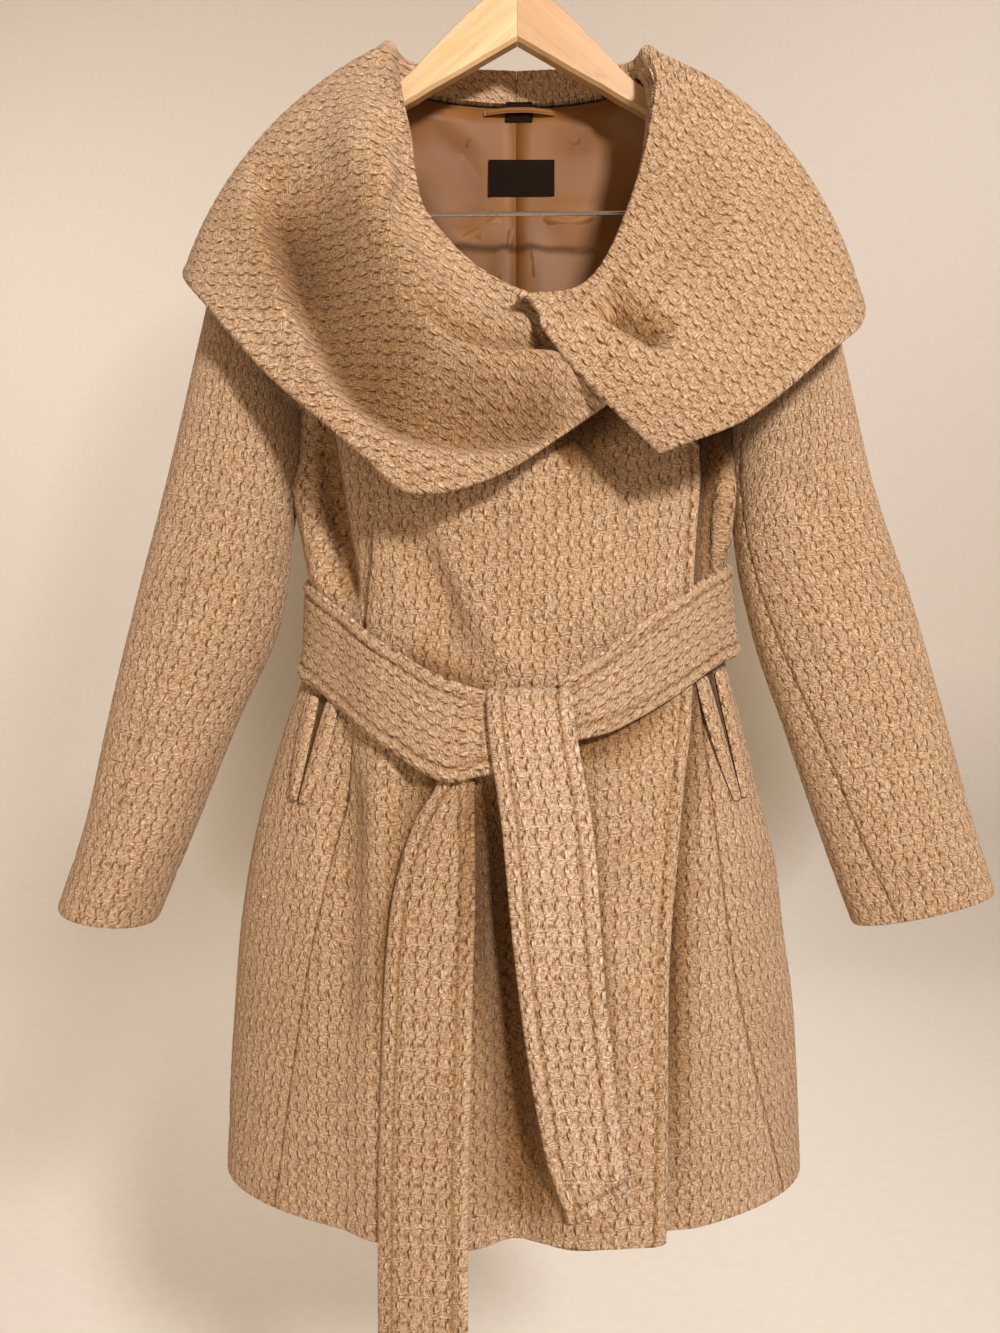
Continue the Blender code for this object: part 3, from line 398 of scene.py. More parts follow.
def lattice(u, v):
    """Column and row of the weave at a place on the flat cloth, a little uneven as real yarn is."""
    row = v / REPEAT_V + 0.07 * sine(u * (FULL_TURN / 0.047)) + 0.05 * sine(u * (FULL_TURN / 0.0131))
    column = u / REPEAT_U + 0.05 * sine(v * (FULL_TURN / 0.0313) + u * 120.0)
    return column, row


def swell(value):
    """1 at whole numbers, 0 half way between them."""
    return 0.5 + 0.5 * sine(FULL_TURN * value + 0.5 * math.pi)


def thread_line(value, sharpness):
    """1 on whole numbers, and nearly 0 as soon as the value leaves them."""
    return (1.0 - size_of(sine(math.pi * value))) ** sharpness


def weave(u, v):
    """Relief of the cloth, near 0 in the slits and 1 on the leaves, and how far a leaf lies there."""
    column, row = lattice(u, v)
    uneven = 0.80 + 0.20 * sine(u * 521.0 + v * 187.0) * sine(u * 173.0 - v * 409.0)
    lying = swell(row)
    tied = 1.0 - lying
    second = swell(row + 0.42)
    slit = thread_line(column - 0.12 * tied, 4.6) * lying ** 0.90 * uneven
    tuck = thread_line(column - 0.32 + 0.12 * second, 5.0) * second ** 2.0
    leaf = swell(column - 0.18) ** 2.4 * lying
    strand = sine(FULL_TURN * (column + 2.0 * row)) * tied
    return 0.46 + 0.26 * leaf + 0.12 * tied * tied + 0.05 * strand - 1.05 * slit - 0.75 * tuck, lying


def swelling(u, v):
    """The broad part of the relief, which the points of a mesh can follow."""
    column, row = lattice(u, v)
    lying = swell(row)
    return (0.5 + 0.40 * swell(column - 0.20) * lying - 0.22 * swell(column) * lying
            + 0.12 * (1 - lying))


sample_u, sample_v = np.meshgrid(np.linspace(0, 0.05, 200), np.linspace(0, 0.05, 200))
sample = weave(sample_u, sample_v)[0]
print("relief runs from", round(float(sample.min()), 2), "to", round(float(sample.max()), 2))


# %% [markdown]
# ## Materials
#
# Camel wool is matt, with a soft sheen from its loose fibres. Its colour follows the relief, with
# painted shade in the slits and painted highlight on the leaves, and fine fibres that run along
# each leaf and across each cross row. The other finishes are brown satin, a bare dark label, pale
# wood and polished steel. All of it is built from nodes, so it keeps its scale at any distance.

# %% Helpers for node trees
def new_material(name, settings):
    made = bpy.data.materials.new(name)
    made.use_nodes = True
    shader = made.node_tree.nodes["Principled BSDF"]
    for key, value in settings.items():
        shader.inputs[key].default_value = value
    return made, made.node_tree, shader


def finish_shader(tree, shader, colour, height, depth):
    """Gives a shader its colour, and bumps of that depth."""
    tree.links.new(colour, shader.inputs["Base Color"])
    bump = new_node(tree, "Bump", {"Height": height, "Distance": depth})
    tree.links.new(bump.outputs[0], shader.inputs["Normal"])


def vector_of(tree, x, y, z=0.0):
    return new_node(tree, "CombineXYZ", {0: x, 1: y, 2: z}).outputs[0]


def noise(tree, place, detail=2.0, roughness=0.5, distortion=0.0, scale=1.0):
    vector = vector_of(tree, *place) if isinstance(place, tuple) else place
    node = new_node(tree, "TexNoise", {"Vector": vector, "Scale": scale, "Detail": detail,
                                       "Roughness": roughness, "Distortion": distortion})
    return Number(tree, node.outputs[0])


def colour_ramp(tree, value, *stops):
    node = new_node(tree, "ValToRGB", {0: value})
    elements = node.color_ramp.elements
    while len(elements) < len(stops):
        elements.new(0.5)
    for element, (place, colour) in zip(elements, stops):
        element.position = place
        element.color = (*colour, 1.0)
    return node.outputs[0]


def shaded(tree, colour, tone):
    """Colour times a tone."""
    return new_node(tree, "VectorMath", {0: colour, "Scale": tone}, operation="SCALE").outputs[0]


def deepened(tree, colour, tone):
    """Colour times a tone, redder where the tone is darker: painted shade, as light that bounces about in a
    hollow of wool comes out redder.
    """
    tones = vector_of(tree, tone ** 0.85, tone ** 1.15, tone ** 1.75)
    return new_node(tree, "VectorMath", {0: colour, 1: tones}, operation="MULTIPLY").outputs[0]


def parts_of(tree, vector):
    return [Number(tree, part) for part in new_node(tree, "SeparateXYZ", {0: vector}).outputs]


def cloth_place(tree):
    """Where a point lies on the flat cloth: u across the grain, v along it, and its tone, which is painted
    shade, a little paler at rubbed edges.
    """
    return parts_of(tree, new_node(tree, "Attribute", {}, attribute_name="weave").outputs["Vector"])


def object_place(tree):
    """Where a point lies in space."""
    return tree.nodes.new("ShaderNodeTexCoord").outputs["Object"]


# %% Camel wool
def camel_wool():
    made, tree, shader = new_material("camel_wool", {
        "Roughness": 0.92, "Specular IOR Level": 0.25, "Sheen Weight": 0.18,
        "Sheen Roughness": 0.45, "Sheen Tint": (1.0, 0.86, 0.68, 1.0)})
    u, v, tone = cloth_place(tree)
    relief, lying = weave(u, v)
    along = noise(tree, (u * 800.0 + v * 140.0, v * 330.0), 2.0, 0.60, 0.6)
    across = noise(tree, (u * 430.0 + v * 210.0, v * 760.0, 7.0), 2.0, 0.60, 0.6)
    fibres = 3.8 * (along * lying + across * (1.0 - lying) - 0.5)
    cells = noise(tree, (u / REPEAT_U, v / REPEAT_V, 3.0), 1.0, scale=1.3)
    clouds = noise(tree, (u * 14.0, v * 9.0, 5.0))
    # The ramp paints shade into the slits and highlight onto the leaves; fibres, cells and clouds vary the
    # colour as yarn does.
    level = 0.86 * relief + 0.56 * fibres + 0.30 * (cells - 0.5) + 0.12
    colour = colour_ramp(tree, level, (0.02, (0.110, 0.048, 0.014)), (0.28, (0.280, 0.148, 0.064)),
                         (0.56, (0.475, 0.294, 0.167)), (0.95, (0.72, 0.515, 0.345)))
    # tone is painted shade from folds, seams, grooves and pockets, and deepened paints it redder
    colour = deepened(tree, colour, (0.90 + 0.20 * clouds) * tone)
    finish_shader(tree, shader, colour, relief + 0.80 * fibres, 0.0012)
    return made


# %% Satin, label, wood and steel
def brown_satin():
    made, tree, shader = new_material("brown_satin", {
        "Roughness": 0.50, "Specular IOR Level": 0.22, "Anisotropic": 0.4})
    u, v, tone = cloth_place(tree)
    threads = noise(tree, (u * 4000.0, v * 900.0), 1.0)
    clouds = noise(tree, (u * 25.0, v * 18.0, 2.0))
    colour = colour_ramp(tree, threads * 0.4 + clouds * 0.6,
                         (0.2, (0.140, 0.053, 0.011)), (0.8, (0.240, 0.096, 0.025)))
    # tone brings the painted shade and painted highlight of the lining's folds
    finish_shader(tree, shader, shaded(tree, colour, tone), threads, 0.00012)
    return made


def dark_label():
    made, tree, shader = new_material("dark_label", {"Roughness": 0.75, "Specular IOR Level": 0.08})
    u, v, tone = cloth_place(tree)
    rib = FULL_TURN / 0.0007
    ribs = 0.5 + 0.5 * sine(v * rib) * sine(u * rib)
    flecks = noise(tree, (u * 900.0, v * 900.0))
    colour = colour_ramp(tree, ribs * 0.4 + flecks * 0.6,
                         (0.2, (0.005, 0.0022, 0.001)), (0.9, (0.018, 0.008, 0.004)))
    finish_shader(tree, shader, shaded(tree, colour, tone), ribs, 0.0002)
    return made


def pale_wood(name, slope, arm_painted_shade):
    """Wood whose grain runs along an arm; slope is the arm's fall away from the middle, and the last
    argument darkens the colour as painted shade.
    """
    made, tree, shader = new_material(name, {
        "Roughness": 0.42, "Coat Weight": 0.25, "Coat Roughness": 0.25})
    x, y, z = parts_of(tree, object_place(tree))
    run = x * math.cos(slope) + z * math.sin(slope)
    width = z * math.cos(slope) - x * math.sin(slope)
    grain = noise(tree, (run * 6.0, width * 150.0, y * 150.0), 4.0, 0.62, 0.6)
    pores = noise(tree, (run * 60.0, width * 1800.0, y * 1800.0), 1.0)
    patches = noise(tree, (run * 9.0, width * 22.0, 4.0))
    flame = noise(tree, (run * 16.0, width * 60.0, 9.0), 1.0, 0.5, 1.5)
    level = 0.45 * grain + 0.20 * pores + 0.40 * patches - clipped(flame - 0.70, 0.0) * 3.0
    stops = [(0.18, (0.36, 0.175, 0.062)), (0.42, (0.56, 0.335, 0.150)),
             (0.60, (0.66, 0.435, 0.225)), (0.80, (0.73, 0.52, 0.30))]
    colour = colour_ramp(tree, level, *[(at, tuple(np.multiply(tone, arm_painted_shade))) for at, tone in stops])
    finish_shader(tree, shader, colour, grain * 0.5 + pores, 0.00012)
    return made


def polished_steel():
    made, tree, shader = new_material("polished_steel", {"Roughness": 0.16, "Metallic": 1.0})
    scratches = noise(tree, object_place(tree), 3.0, 0.6, scale=900.0)
    colour = colour_ramp(tree, scratches, (0.3, (0.60, 0.59, 0.57)), (0.7, (0.78, 0.77, 0.75)))
    finish_shader(tree, shader, colour, scratches, 0.00004)
    return made


WOOL, SATIN, LABEL = camel_wool(), brown_satin(), dark_label()
print("materials:", [m.name for m in (WOOL, SATIN, LABEL)])


# %% [markdown]
# ## From points to cloth
#
# A panel is a grid of points. Its face is fine, so that every leaf of the weave is real shape,
# and its back is four times coarser, since only lining lies there. The rim between them is
# rounded, as a turned edge is. Edges differ: a seam is drawn in and puckers a little, a hem
# shows where its allowance ends, and a stitched edge has a groove with a fat band beside it.
# Two pieces that are cut from one cloth on the real coat meet flush, and nothing marks the place.

# %% Lengths, normals and edges
RELIEF = 0.0011
STITCH_IN = 0.0088
PRESSED_IN = 0.0105
ALLOWANCE = 0.038
FLUSH = ("joined", "fine", "flat")       # kinds of edge where two pieces meet without a gap


def run_of(grid, axis):
    steps = np.linalg.norm(np.diff(grid, axis=axis), axis=-1)
    start = np.zeros_like(np.take(steps, [0], axis=axis))
    return np.concatenate([start, np.cumsum(steps, axis=axis)], axis=axis)


def facing(grid, away, spot=None):
    """Normals of a grid, on the side that `away` points to at its middle or another spot."""
    normals = unit(np.cross(np.gradient(grid, axis=1), np.gradient(grid, axis=0)))
    there = normals[spot or (len(grid) // 2, len(grid[0]) // 2)]
    return -normals if there @ np.array(away, float) < 0 else normals


def edge_form(kind, inward, run):
    """How an edge of each kind lifts or draws in the cloth, by the distance from it."""
    if kind == "joined":
        return np.zeros_like(inward)
    if kind in FLUSH:
        return -0.0004 * bell(inward, 0.0012)
    if kind == "seam":
        pucker = 0.5 + 0.5 * np.sin(run * FULL_TURN / 0.019 + 2.0 * np.sin(run * FULL_TURN / 0.083))
        return -0.0006 * bell(inward, 0.0016) - 0.0005 * pucker * bell(inward, 0.008)
    turned = -0.0010 * bell(inward, 0.0016)
    if kind == "hem":
        waves = 0.6 + 0.4 * np.sin(run * FULL_TURN / 0.061)
        turned = turned - 0.0007 * waves * bell(inward - ALLOWANCE, 0.004)
    if kind == "pressed":
        turned = turned - 0.0006 * bell(inward - PRESSED_IN, 0.0018)
    if kind == "stitched":
        groove = -0.0015 * bell(inward - STITCH_IN, 0.0012)
        turned = turned + groove + 0.0006 * np.sin(math.pi * np.clip(inward / STITCH_IN, 0, 1))
    return turned


def edge_tone(kind, inward):
    """Painted shade in seams, flush joins and stitch grooves; rubbed edges are a little paler."""
    if kind == "joined":
        return np.ones_like(inward)
    if kind == "seam" or kind in FLUSH:
        return 1 - (0.38 if kind == "flat" else 0.16) * bell(inward, 0.0011)
    groove = 0.50 * bell(inward - STITCH_IN, 0.0011) if kind == "stitched" else 0.0
    return 1 + 0.06 * bell(inward, 0.003) - groove


def straight_grain(grid):
    """Flat places on a body panel: u from the line nearest the middle, v from its height."""
    across, along = run_of(grid, 1), run_of(grid, 0)
    order = 1 if grid[0, -1, 0] > grid[0, 0, 0] else -1
    zero = [np.interp(0.0, row[::order, 0], run[::order]) for row, run in zip(grid, across)]
    start = int(np.argmin(np.abs(grid[:, 0, 2] - UNDERARM_Z)))
    u = (across - np.array(zero)[:, None]) * order
    v = grid[start, :, 2] + along - along[start]
    return np.stack([u, v], -1)


def run_grain(grid):
    """Flat places on a strip: u across it from its middle, v along it."""
    across, along = run_of(grid, 1), run_of(grid, 0)
    v = np.broadcast_to(along.mean(1, keepdims=True), along.shape)
    return np.stack([across - across[:, -1:] / 2, v], -1)


# %% Points and faces of a piece with a face, a rim and a back
STEP = 4                 # the back has one point for every four of the face
BULGE = 0.26             # how far a turned edge is rounded out, in thicknesses


def fit(length, spacing=FINE):
    return STEP * max(int(round(length / spacing / STEP)), 2) + 1


def sides_of(index, inset=0):
    """Foot, right, top and left side of a grid, in order round it."""
    return index[inset, :-1], index[:-1, -1 - inset], index[-1 - inset, :0:-1], index[:0:-1, inset]


def cells_of(index):
    corners = index[:-1, :-1], index[:-1, 1:], index[1:, 1:], index[1:, :-1]
    return np.stack(corners, -1).reshape(-1, 4)


def shell(face, body, normals, thick, edges):
    """Points, faces in front and round the rim, faces of the back, and which points the rim has."""
    count = face[..., 0].size
    index = np.arange(count).reshape(face.shape[:2])
    sides = sides_of(index)
    rim, beside_rim = np.concatenate(sides), np.concatenate(sides_of(index, 1))
    spots = body.reshape(-1, 3)
    kinds = (edges[0], edges[3], edges[1], edges[2])
    bulges = [np.full(len(side), 0.0 if kind == "seam" or kind in FLUSH else BULGE * thick)
              for side, kind in zip(sides, kinds)]
    bulge = np.concatenate(bulges)[:, None] * unit(spots[rim] - spots[beside_rim])
    middle = spots[rim] - normals.reshape(-1, 3)[rim] * thick * 0.5 + bulge
    inner = (body - normals * thick)[::STEP, ::STEP]
    points = np.concatenate([face.reshape(-1, 3), middle, inner.reshape(-1, 3)])
    quads = cells_of(index)
    ring = count + np.arange(len(rim))
    flanks = np.stack([np.roll(rim, -1), rim, ring, np.roll(ring, -1)], -1)
    lower = count + len(rim) + np.arange(inner[..., 0].size).reshape(inner.shape[:2])
    corner = np.concatenate(sides_of(lower)).tolist()
    skirts = []
    for k, spot in enumerate(corner):
        along_ring = [int(ring[(k * STEP + i) % len(rim)]) for i in range(STEP, -1, -1)]
        skirts.append(along_ring + [spot, corner[(k + 1) % len(corner)]])
    fine, coarse = quads.tolist() + flanks.tolist() + skirts, cells_of(lower)[:, [1, 0, 3, 2]].tolist()
    first = points[quads[len(quads) // 2]]
    outward = normals[len(normals) // 2, len(normals[0]) // 2]
    if np.cross(first[1] - first[0], first[3] - first[0]) @ outward < 0:
        fine, coarse = ([loop[::-1] for loop in loops] for loops in (fine, coarse))
    return points, fine, coarse, rim


# %% A woven piece
def keep_sharp(mesh, index, edges):
    """Where two pieces are joined flush, the edge between face and rim stays sharp."""
    ends = np.empty(2 * len(mesh.edges), np.int32)
    mesh.edges.foreach_get("vertices", ends)
    sharp = np.zeros(len(mesh.edges), bool)
    for side, kind in zip((index[0], index[-1], index[:, 0], index[:, -1]), edges):
        if kind in FLUSH:
            sharp |= np.isin(ends.reshape(-1, 2), side).all(1)
    mesh.attributes.new("sharp_edge", "BOOLEAN", "EDGE").data.foreach_set("value", sharp)


def cloth(name, grid, flat, away, edges, thick=CLOTH, relief=RELIEF, shape=0.0, shade=1.0,
          material=WOOL, backing=None, density=1.0, spot=None):
    """A piece over a grid of points, of which flat gives the places on the flat cloth.

    edges names the kinds of the foot, top, left and right edges. The face lies on the side that
    away points to at the middle of the grid or at spot, and shape is its height over the grid."""
    high, wide = grid.shape[:2]
    normals = facing(grid, away, spot)
    across, along = run_of(grid, 1), run_of(grid, 0)
    inward = (along, along[-1:] - along, across, across[:, -1:] - across)
    rise = relief * (swelling(flat[..., 0] * density, flat[..., 1] * density) - 0.5) + shape
    # tone is painted light and shade: the shade a piece is given, times the painted shade in its seams and
    # grooves; rubbed edges are a little paler
    tone = np.ones((high, wide)) * shade
    for kind, distance, run in zip(edges, inward, (across, across, along, along)):
        rise = rise + edge_form(kind, distance, run)
        tone = tone * edge_tone(kind, distance)
    body = grid + normals * (np.zeros((high, wide)) + shape)[..., None]
    points, faces, backs, rim = shell(grid + normals * rise[..., None], body, normals, thick, edges)
    places = np.concatenate([flat * density, tone[..., None]], -1)
    places = [places.reshape(-1, 3), places.reshape(-1, 3)[rim], places[::STEP, ::STEP].reshape(-1, 3)]
    mesh = bpy.data.meshes.new(name)
    mesh.from_pydata(points, [], faces + backs)
    carried = mesh.attributes.new("weave", "FLOAT_VECTOR", "POINT")
    carried.data.foreach_set("vector", np.concatenate(places).ravel())
    mesh.materials.append(material)
    if backing:
        mesh.materials.append(backing)
        slots = np.repeat([0, 1], [len(faces), len(backs)]).astype(np.int32)
        mesh.polygons.foreach_set("material_index", slots)
    mesh.shade_smooth()
    keep_sharp(mesh, np.arange(high * wide).reshape(high, wide), edges)
    piece = bpy.data.objects.new(name, mesh)
    bpy.context.collection.objects.link(piece)
    return piece


def sew(name, node, grid, away, edges, held, rests_on, flat=None, slot="wool", **look):
    """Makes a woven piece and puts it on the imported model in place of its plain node."""
    flat = run_grain(grid) if flat is None else flat
    piece = cloth(name, grid, flat, away, edges, **look)
    cells = np.cross(np.diff(grid, axis=0)[:, :-1], np.diff(grid, axis=1)[:-1])
    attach(piece, "root")
    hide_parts(node)
    if held:
        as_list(rests_on)


# %% [markdown]
# ## Folds
#
# A fold is a soft trough or ridge along a line. Each one is given in the coat's own sizes: its
# depth, its width on either side, and the path that it follows as seen from the front. Many also
# paint shade into the colour, a few paint highlight, and a fold without depth is painted shade alone.

# %% Troughs and ridges
def fold(depth, left, right, *path, fade=(0.25, 0.25), dark=0.0):
    """A fold along a path of (x, z), in millimetres like the widths on the path's two sides. dark is
    painted shade along it, and painted highlight where it is below 0.
    """
    return {"depth": depth / 1000, "left": left / 1000, "right": right / 1000,
            "path": np.array(path) / 1000, "fade": fade, "dark": dark}


def beside(grid, path):
    """For each point its distance from a smooth path (+ on its left), and its place along it."""
    line = refine(np.array(path, float)[:, None, :], (40,))[:, 0]
    x, z = grid[..., 0].ravel(), grid[..., 2].ravel()
    best, side, along = np.full(x.size, 9.0), np.zeros(x.size), np.zeros(x.size)
    for k, ((x1, z1), (x2, z2)) in enumerate(zip(line, line[1:])):
        dx, dz = x2 - x1, z2 - z1
        t = np.clip(((x - x1) * dx + (z - z1) * dz) / (dx * dx + dz * dz), 0, 1)
        off = np.hypot(x - x1 - t * dx, z - z1 - t * dz)
        nearer = off < best
        best[nearer] = off[nearer]
        side[nearer] = (dx * (z - z1) - dz * (x - x1))[nearer]
        along[nearer] = ((k + t) / (len(line) - 1))[nearer]
    return (best * np.sign(side)).reshape(grid.shape[:2]), along.reshape(grid.shape[:2])


def folded(grid, folds):
    """Height of the folds at the points of a grid, and the painted shade that they leave there."""
    total, tone = np.zeros(grid.shape[:2]), np.ones(grid.shape[:2])
    for each in folds:
        off, along = beside(grid, each["path"])
        width = np.where(off > 0, each["left"], each["right"])
        start, end = each["fade"]
        ends = ramp(along, -1e-6, start + 1e-6) * ramp(1 - along, -1e-6, end + 1e-6)
        here = ends * bell(off, width)
        total += each["depth"] * here
        tone *= 1 - each["dark"] * here
    return total, tone


# %% [markdown]
# ## Fronts
#
# A wrap coat has four front panels: on each side a narrow one to the side seam and a wide one
# that wraps over the middle, with a princess seam between. Rows of points are spread evenly
# along the cloth from one end of each level to the other.

# %% Ends of the panels, from hem to shoulder
ROWS = len(LEVELS_BELOW) + len(SHARES)
LOW = len(LEVELS_BELOW) - 1              # the last level below the underarm
SIGNS = {"left": -1, "right": 1}


def levels_of(count, ends, first=0.0, last=ROWS - 1.0):
    """Levels between two, evenly spaced along the cloth between the panel's two ends."""
    dense = np.linspace(first, last, 600)
    sides = [np.stack(end(dense), -1) for end in ends]
    steps = sum(np.linalg.norm(np.diff(side, axis=0), axis=1) for side in sides)
    run = np.concatenate([[0.0], np.cumsum(steps)])
    return np.interp(np.linspace(0, run[-1], count), run, dense)


def height_and_share(level):
    z = np.interp(level, range(ROWS), [*LEVELS_BELOW, *[UNDERARM_Z] * len(SHARES)])
    share = np.interp(level, range(LOW + 1, ROWS), SHARES)
    return z, np.where(level <= LOW + 1, 0.0, share)


def princess(side, gap=0.0):
    def end(level):
        z, share = height_and_share(level)
        x = lerp(read(PRINCESS, "z", z, side), SHOULDER_SEAM_X, share)
        z = np.where(share > 0, lerp(UNDERARM_Z, shoulder_z(x), share), z)
        return SIGNS[side] * x + gap, z
    return end


def side_seam(sign):
    def end(level):
        z, share = height_and_share(level)
        z = np.where(share > 0, lerp(UNDERARM_Z, shoulder_z(SHOULDER_HALF), share), z)
        return sign * half_width(z, sign), z
    return end


def wrap_edge(table, below):
    def end(level):
        z, share = height_and_share(level)
        top_x, top_z = read(table, "share", share, "x"), read(table, "share", share, "z")
        across = np.clip(level - LOW, 0, 1)
        return (np.where(level > LOW, lerp(below(LAP_TOP_Z), top_x, across), below(z)),
                np.where(level > LOW, lerp(LAP_TOP_Z, top_z, across), z))
    return end


OVER_EDGE = wrap_edge(OVER_NECKLINE, lambda z: read(OVERLAP_EDGE, "z", z, "x"))
HIDDEN_EDGE = wrap_edge(UNDER_NECKLINE, lambda z: np.full(np.shape(z), UNDER_EDGE_X))


# %% Rows spread over the front
def evenly(line, count, *values):
    """The values at points spread evenly along each row of points."""
    at = np.linspace(0, 1, count)
    runs = run_of(line, 1)
    return [np.array([np.interp(at * run[-1], run, row) for run, row in zip(runs, value)])
            for value in values]


def spread(left, right, count):
    """sign, turn and z of rows on the front, even along the cloth."""
    (xa, za), (xb, zb) = left, right

    def signed(x, z):
        turn = turn_at(x, z)
        return np.where(x < 0, turn, math.pi - turn)

    t = np.linspace(0, 1, 160)
    around = lerp(signed(xa, za)[:, None], signed(xb, zb)[:, None], t)
    drop = lerp((shoulder_z(xa) - za)[:, None], (shoulder_z(xb) - zb)[:, None], t)
    follow = 1 - ramp(drop[:, :1] / 2 + drop[:, -1:] / 2, 0.01, 0.10)
    sign = np.where(around < math.pi / 2, -1, 1)
    turn = np.where(sign < 0, around, math.pi - around)
    z = lerp(za[:, None], zb[:, None], t)
    x = sign * half_width(z, sign) * np.maximum(np.cos(turn), 0) ** (2 / FRONT_POWER)
    z = lerp(z, shoulder_z(x) - drop, follow)
    turn = np.where(follow > 0, turn_at(x, z), turn)
    around = np.where(sign < 0, turn, math.pi - turn)
    around, z = evenly(surface(turn, z, sign, folds=False), count, around, z)
    sign = np.where(around < math.pi / 2, -1, 1)
    return sign, np.where(sign < 0, around, math.pi - around), z


def front_panel(ends, counts, lapped):
    sign, turn, z = spread(*[end(levels_of(counts[0], ends)) for end in ends], counts[1])
    out = lap_lift(surface(turn, z, sign)[..., 0], z) if lapped else np.zeros(z.shape)
    return on_coat(sign, turn, z, out=out)[0]


# %% Pocket slits
POCKETS = millimetres(
    "side top_x  top_z   foot_x  foot_z",
    ("left", -140, -612, -157, -684),
    ("right", 139.5, -594, 161, -683))


def pocket_opening(t):
    """Half the slit's width: it gapes at the top, where the belt pulls, and closes at the foot."""
    return lerp(0.0040, 0.0008, np.sqrt(t))


def pocket_shade(grid, side):
    """Painted shade inside the open slit of a pocket."""
    pocket = next(row for row in POCKETS if row["side"] == side)
    off, t = beside(grid, ((pocket["top_x"], pocket["top_z"]), (pocket["foot_x"], pocket["foot_z"])))
    return 1 - 0.88 * np.exp(-(off / (pocket_opening(t) + 0.0012)) ** 4)


# %% Folds of the fronts
# a soft trough with a little painted shade, shared by the over front and the left side panel
SIDE_TROUGH = fold(-5, 12, 14, (-118, -640), (-116, -740), (-122, -860), dark=0.12)
OVER_FOLDS = [
    # the slanting trough under the bust, with a little painted shade, and the round drag over it towards
    # the knot
    fold(-6, 10, 13, (-86, -470), (-58, -535), (-40, -600), fade=(0.3, 0.3), dark=0.10),
    fold(5.5, 13, 12, (-68, -480), (-36, -535), (-10, -580), (30, -600)),
    fold(-3, 14, 14, (-28, -445), (-20, -480), (4, -520), (50, -545)),
    fold(-3.5, 10, 12, (10, -480), (50, -462), (72, -430), dark=0.08),
    # the lapped edge stands off the cloth under it
    fold(3, 10, 10, (125.5, -430), (121, -520), (119, -600), (105.5, -700), (93.5, -800), (88.5, -985),
         fade=(0.05, 0.0)),
    # the hollow between the two hanging ends, with painted shadow in it from the front end
    fold(-5, 18, 14, (-12, -640), (-10, -760), (2, -900), (12, -960), fade=(0.2, 0.2), dark=0.46),
    fold(0, 30, 28, (-24, -655), (-19, -740), (-9, -830), (0, -900), (3, -970), fade=(0.05, 0.10),
         dark=0.46),
    fold(0, 8, 8, (-28, -660), (-27, -750), (-26, -850), fade=(0.1, 0.5), dark=0.60),
    # painted shade along the front end's far edge, where it lies on the cloth, and painted shadow under the
    # belt's right half
    fold(0, 5.5, 5.5, (36, -640), (45.7, -689), (52, -775), (60, -857), (66.5, -918), fade=(0.0, 0.5),
         dark=0.50),
    fold(0, 14, 16, (36, -645), (62, -634), (90, -612), (112, -590), fade=(0.1, 0.4), dark=0.56),
    # deep painted shadow where the two collar ends cross
    fold(0, 20, 20, (64, -395), (54, -415), (40, -434), (24, -450), fade=(0.0, 0.15), dark=0.80),
    # painted shade over the belt's left half, where the front bulges over it
    fold(0, 14, 12, (-84, -572), (-66, -588), (-44, -600), (-20, -611), fade=(0.35, 0.1), dark=0.50),
    # painted shadow beside the long end
    fold(0, 6, 7, (-57, -655), (-66.5, -694), (-76.2, -721.5), (-88, -766), (-92, -810), (-94.5, -860),
         fade=(0.0, 0.45), dark=0.60),
    # soft troughs beside the long end, with a little painted shade
    SIDE_TROUGH,
    fold(-6, 10, 10, (-70, -640), (-84, -700), (-98, -770), fade=(0.1, 0.5), dark=0.20)]
# the left side's roll, with painted shade in the trough beside it
LEFT_FOLDS = [
    SIDE_TROUGH,
    fold(8, 9, 10, (-158, -430), (-153, -470), (-144, -520), (-134, -548)),
    fold(-8.5, 6, 8, (-144, -395), (-136, -450), (-128, -500), (-117, -556), fade=(0.1, 0.2), dark=0.50)]
# painted shade in the deep recess under the right arm and along the lapped edge
RIGHT_FOLDS = [
    fold(-4, 12, 12, (139, -380), (135, -450), (129, -510), (124, -560), fade=(0.0, 0.15), dark=0.86),
    fold(0, 14, 14, (150, -385), (149, -415), (146, -455), fade=(0.0, 0.6), dark=0.82),
    fold(4, 8, 8, (152, -470), (148, -500), (142, -545), fade=(0.35, 0.2)),
    fold(-7, 16, 10, (124, -600), (113, -700), (102, -790), (97, -990), fade=(0.1, 0.0), dark=0.10),
    fold(0, 11.5, 10, (123.5, -600), (119, -645), (109, -714), (105.5, -767), (103, -850), (102, -985),
         fade=(0.0, 0.5), dark=0.76)]
print("folds of the fronts:", len(OVER_FOLDS), len(LEFT_FOLDS), len(RIGHT_FOLDS))


# %% Four front panels
GAP = SEAM * 0.4
LAP_HEM_RISE = 0.0075
PANEL_LENGTH = 0.80


def widened(grid, sign):
    """At the underarm the cloth fills the space up to the sleeve."""
    x, z = grid[..., 0] * sign, grid[..., 2]
    middle, deep, more = (-0.430, 0.045, 0.0066) if sign < 0 else (-0.456, 0.055, 0.0100)
    return more * bell(z - middle, deep) * ramp(x, 0.130, 0.156)


def front(name, node, ends, counts, edges, folds, rests_on, side=None):
    """A front panel. The side names the pocket that is cut into a side panel."""
    lapped = node == "front_over_centre"
    grid = front_panel(ends, counts, lapped)
    if lapped:
        lower, farther = ramp(-grid[..., 2], 0.88, -HEM_Z), ramp(grid[..., 0], -0.020, 0.040)
        grid[..., 2] += LAP_HEM_RISE * farther * lower
    shape, shade = folded(grid, folds)
    if side:
        shape = shape + widened(grid, SIGNS[side])
        shade = shade * pocket_shade(grid, side)
    sew(name, node, grid, (0, -1, 0), edges, "hung", rests_on, straight_grain(grid),
        shape=shape, shade=shade, backing=SATIN)


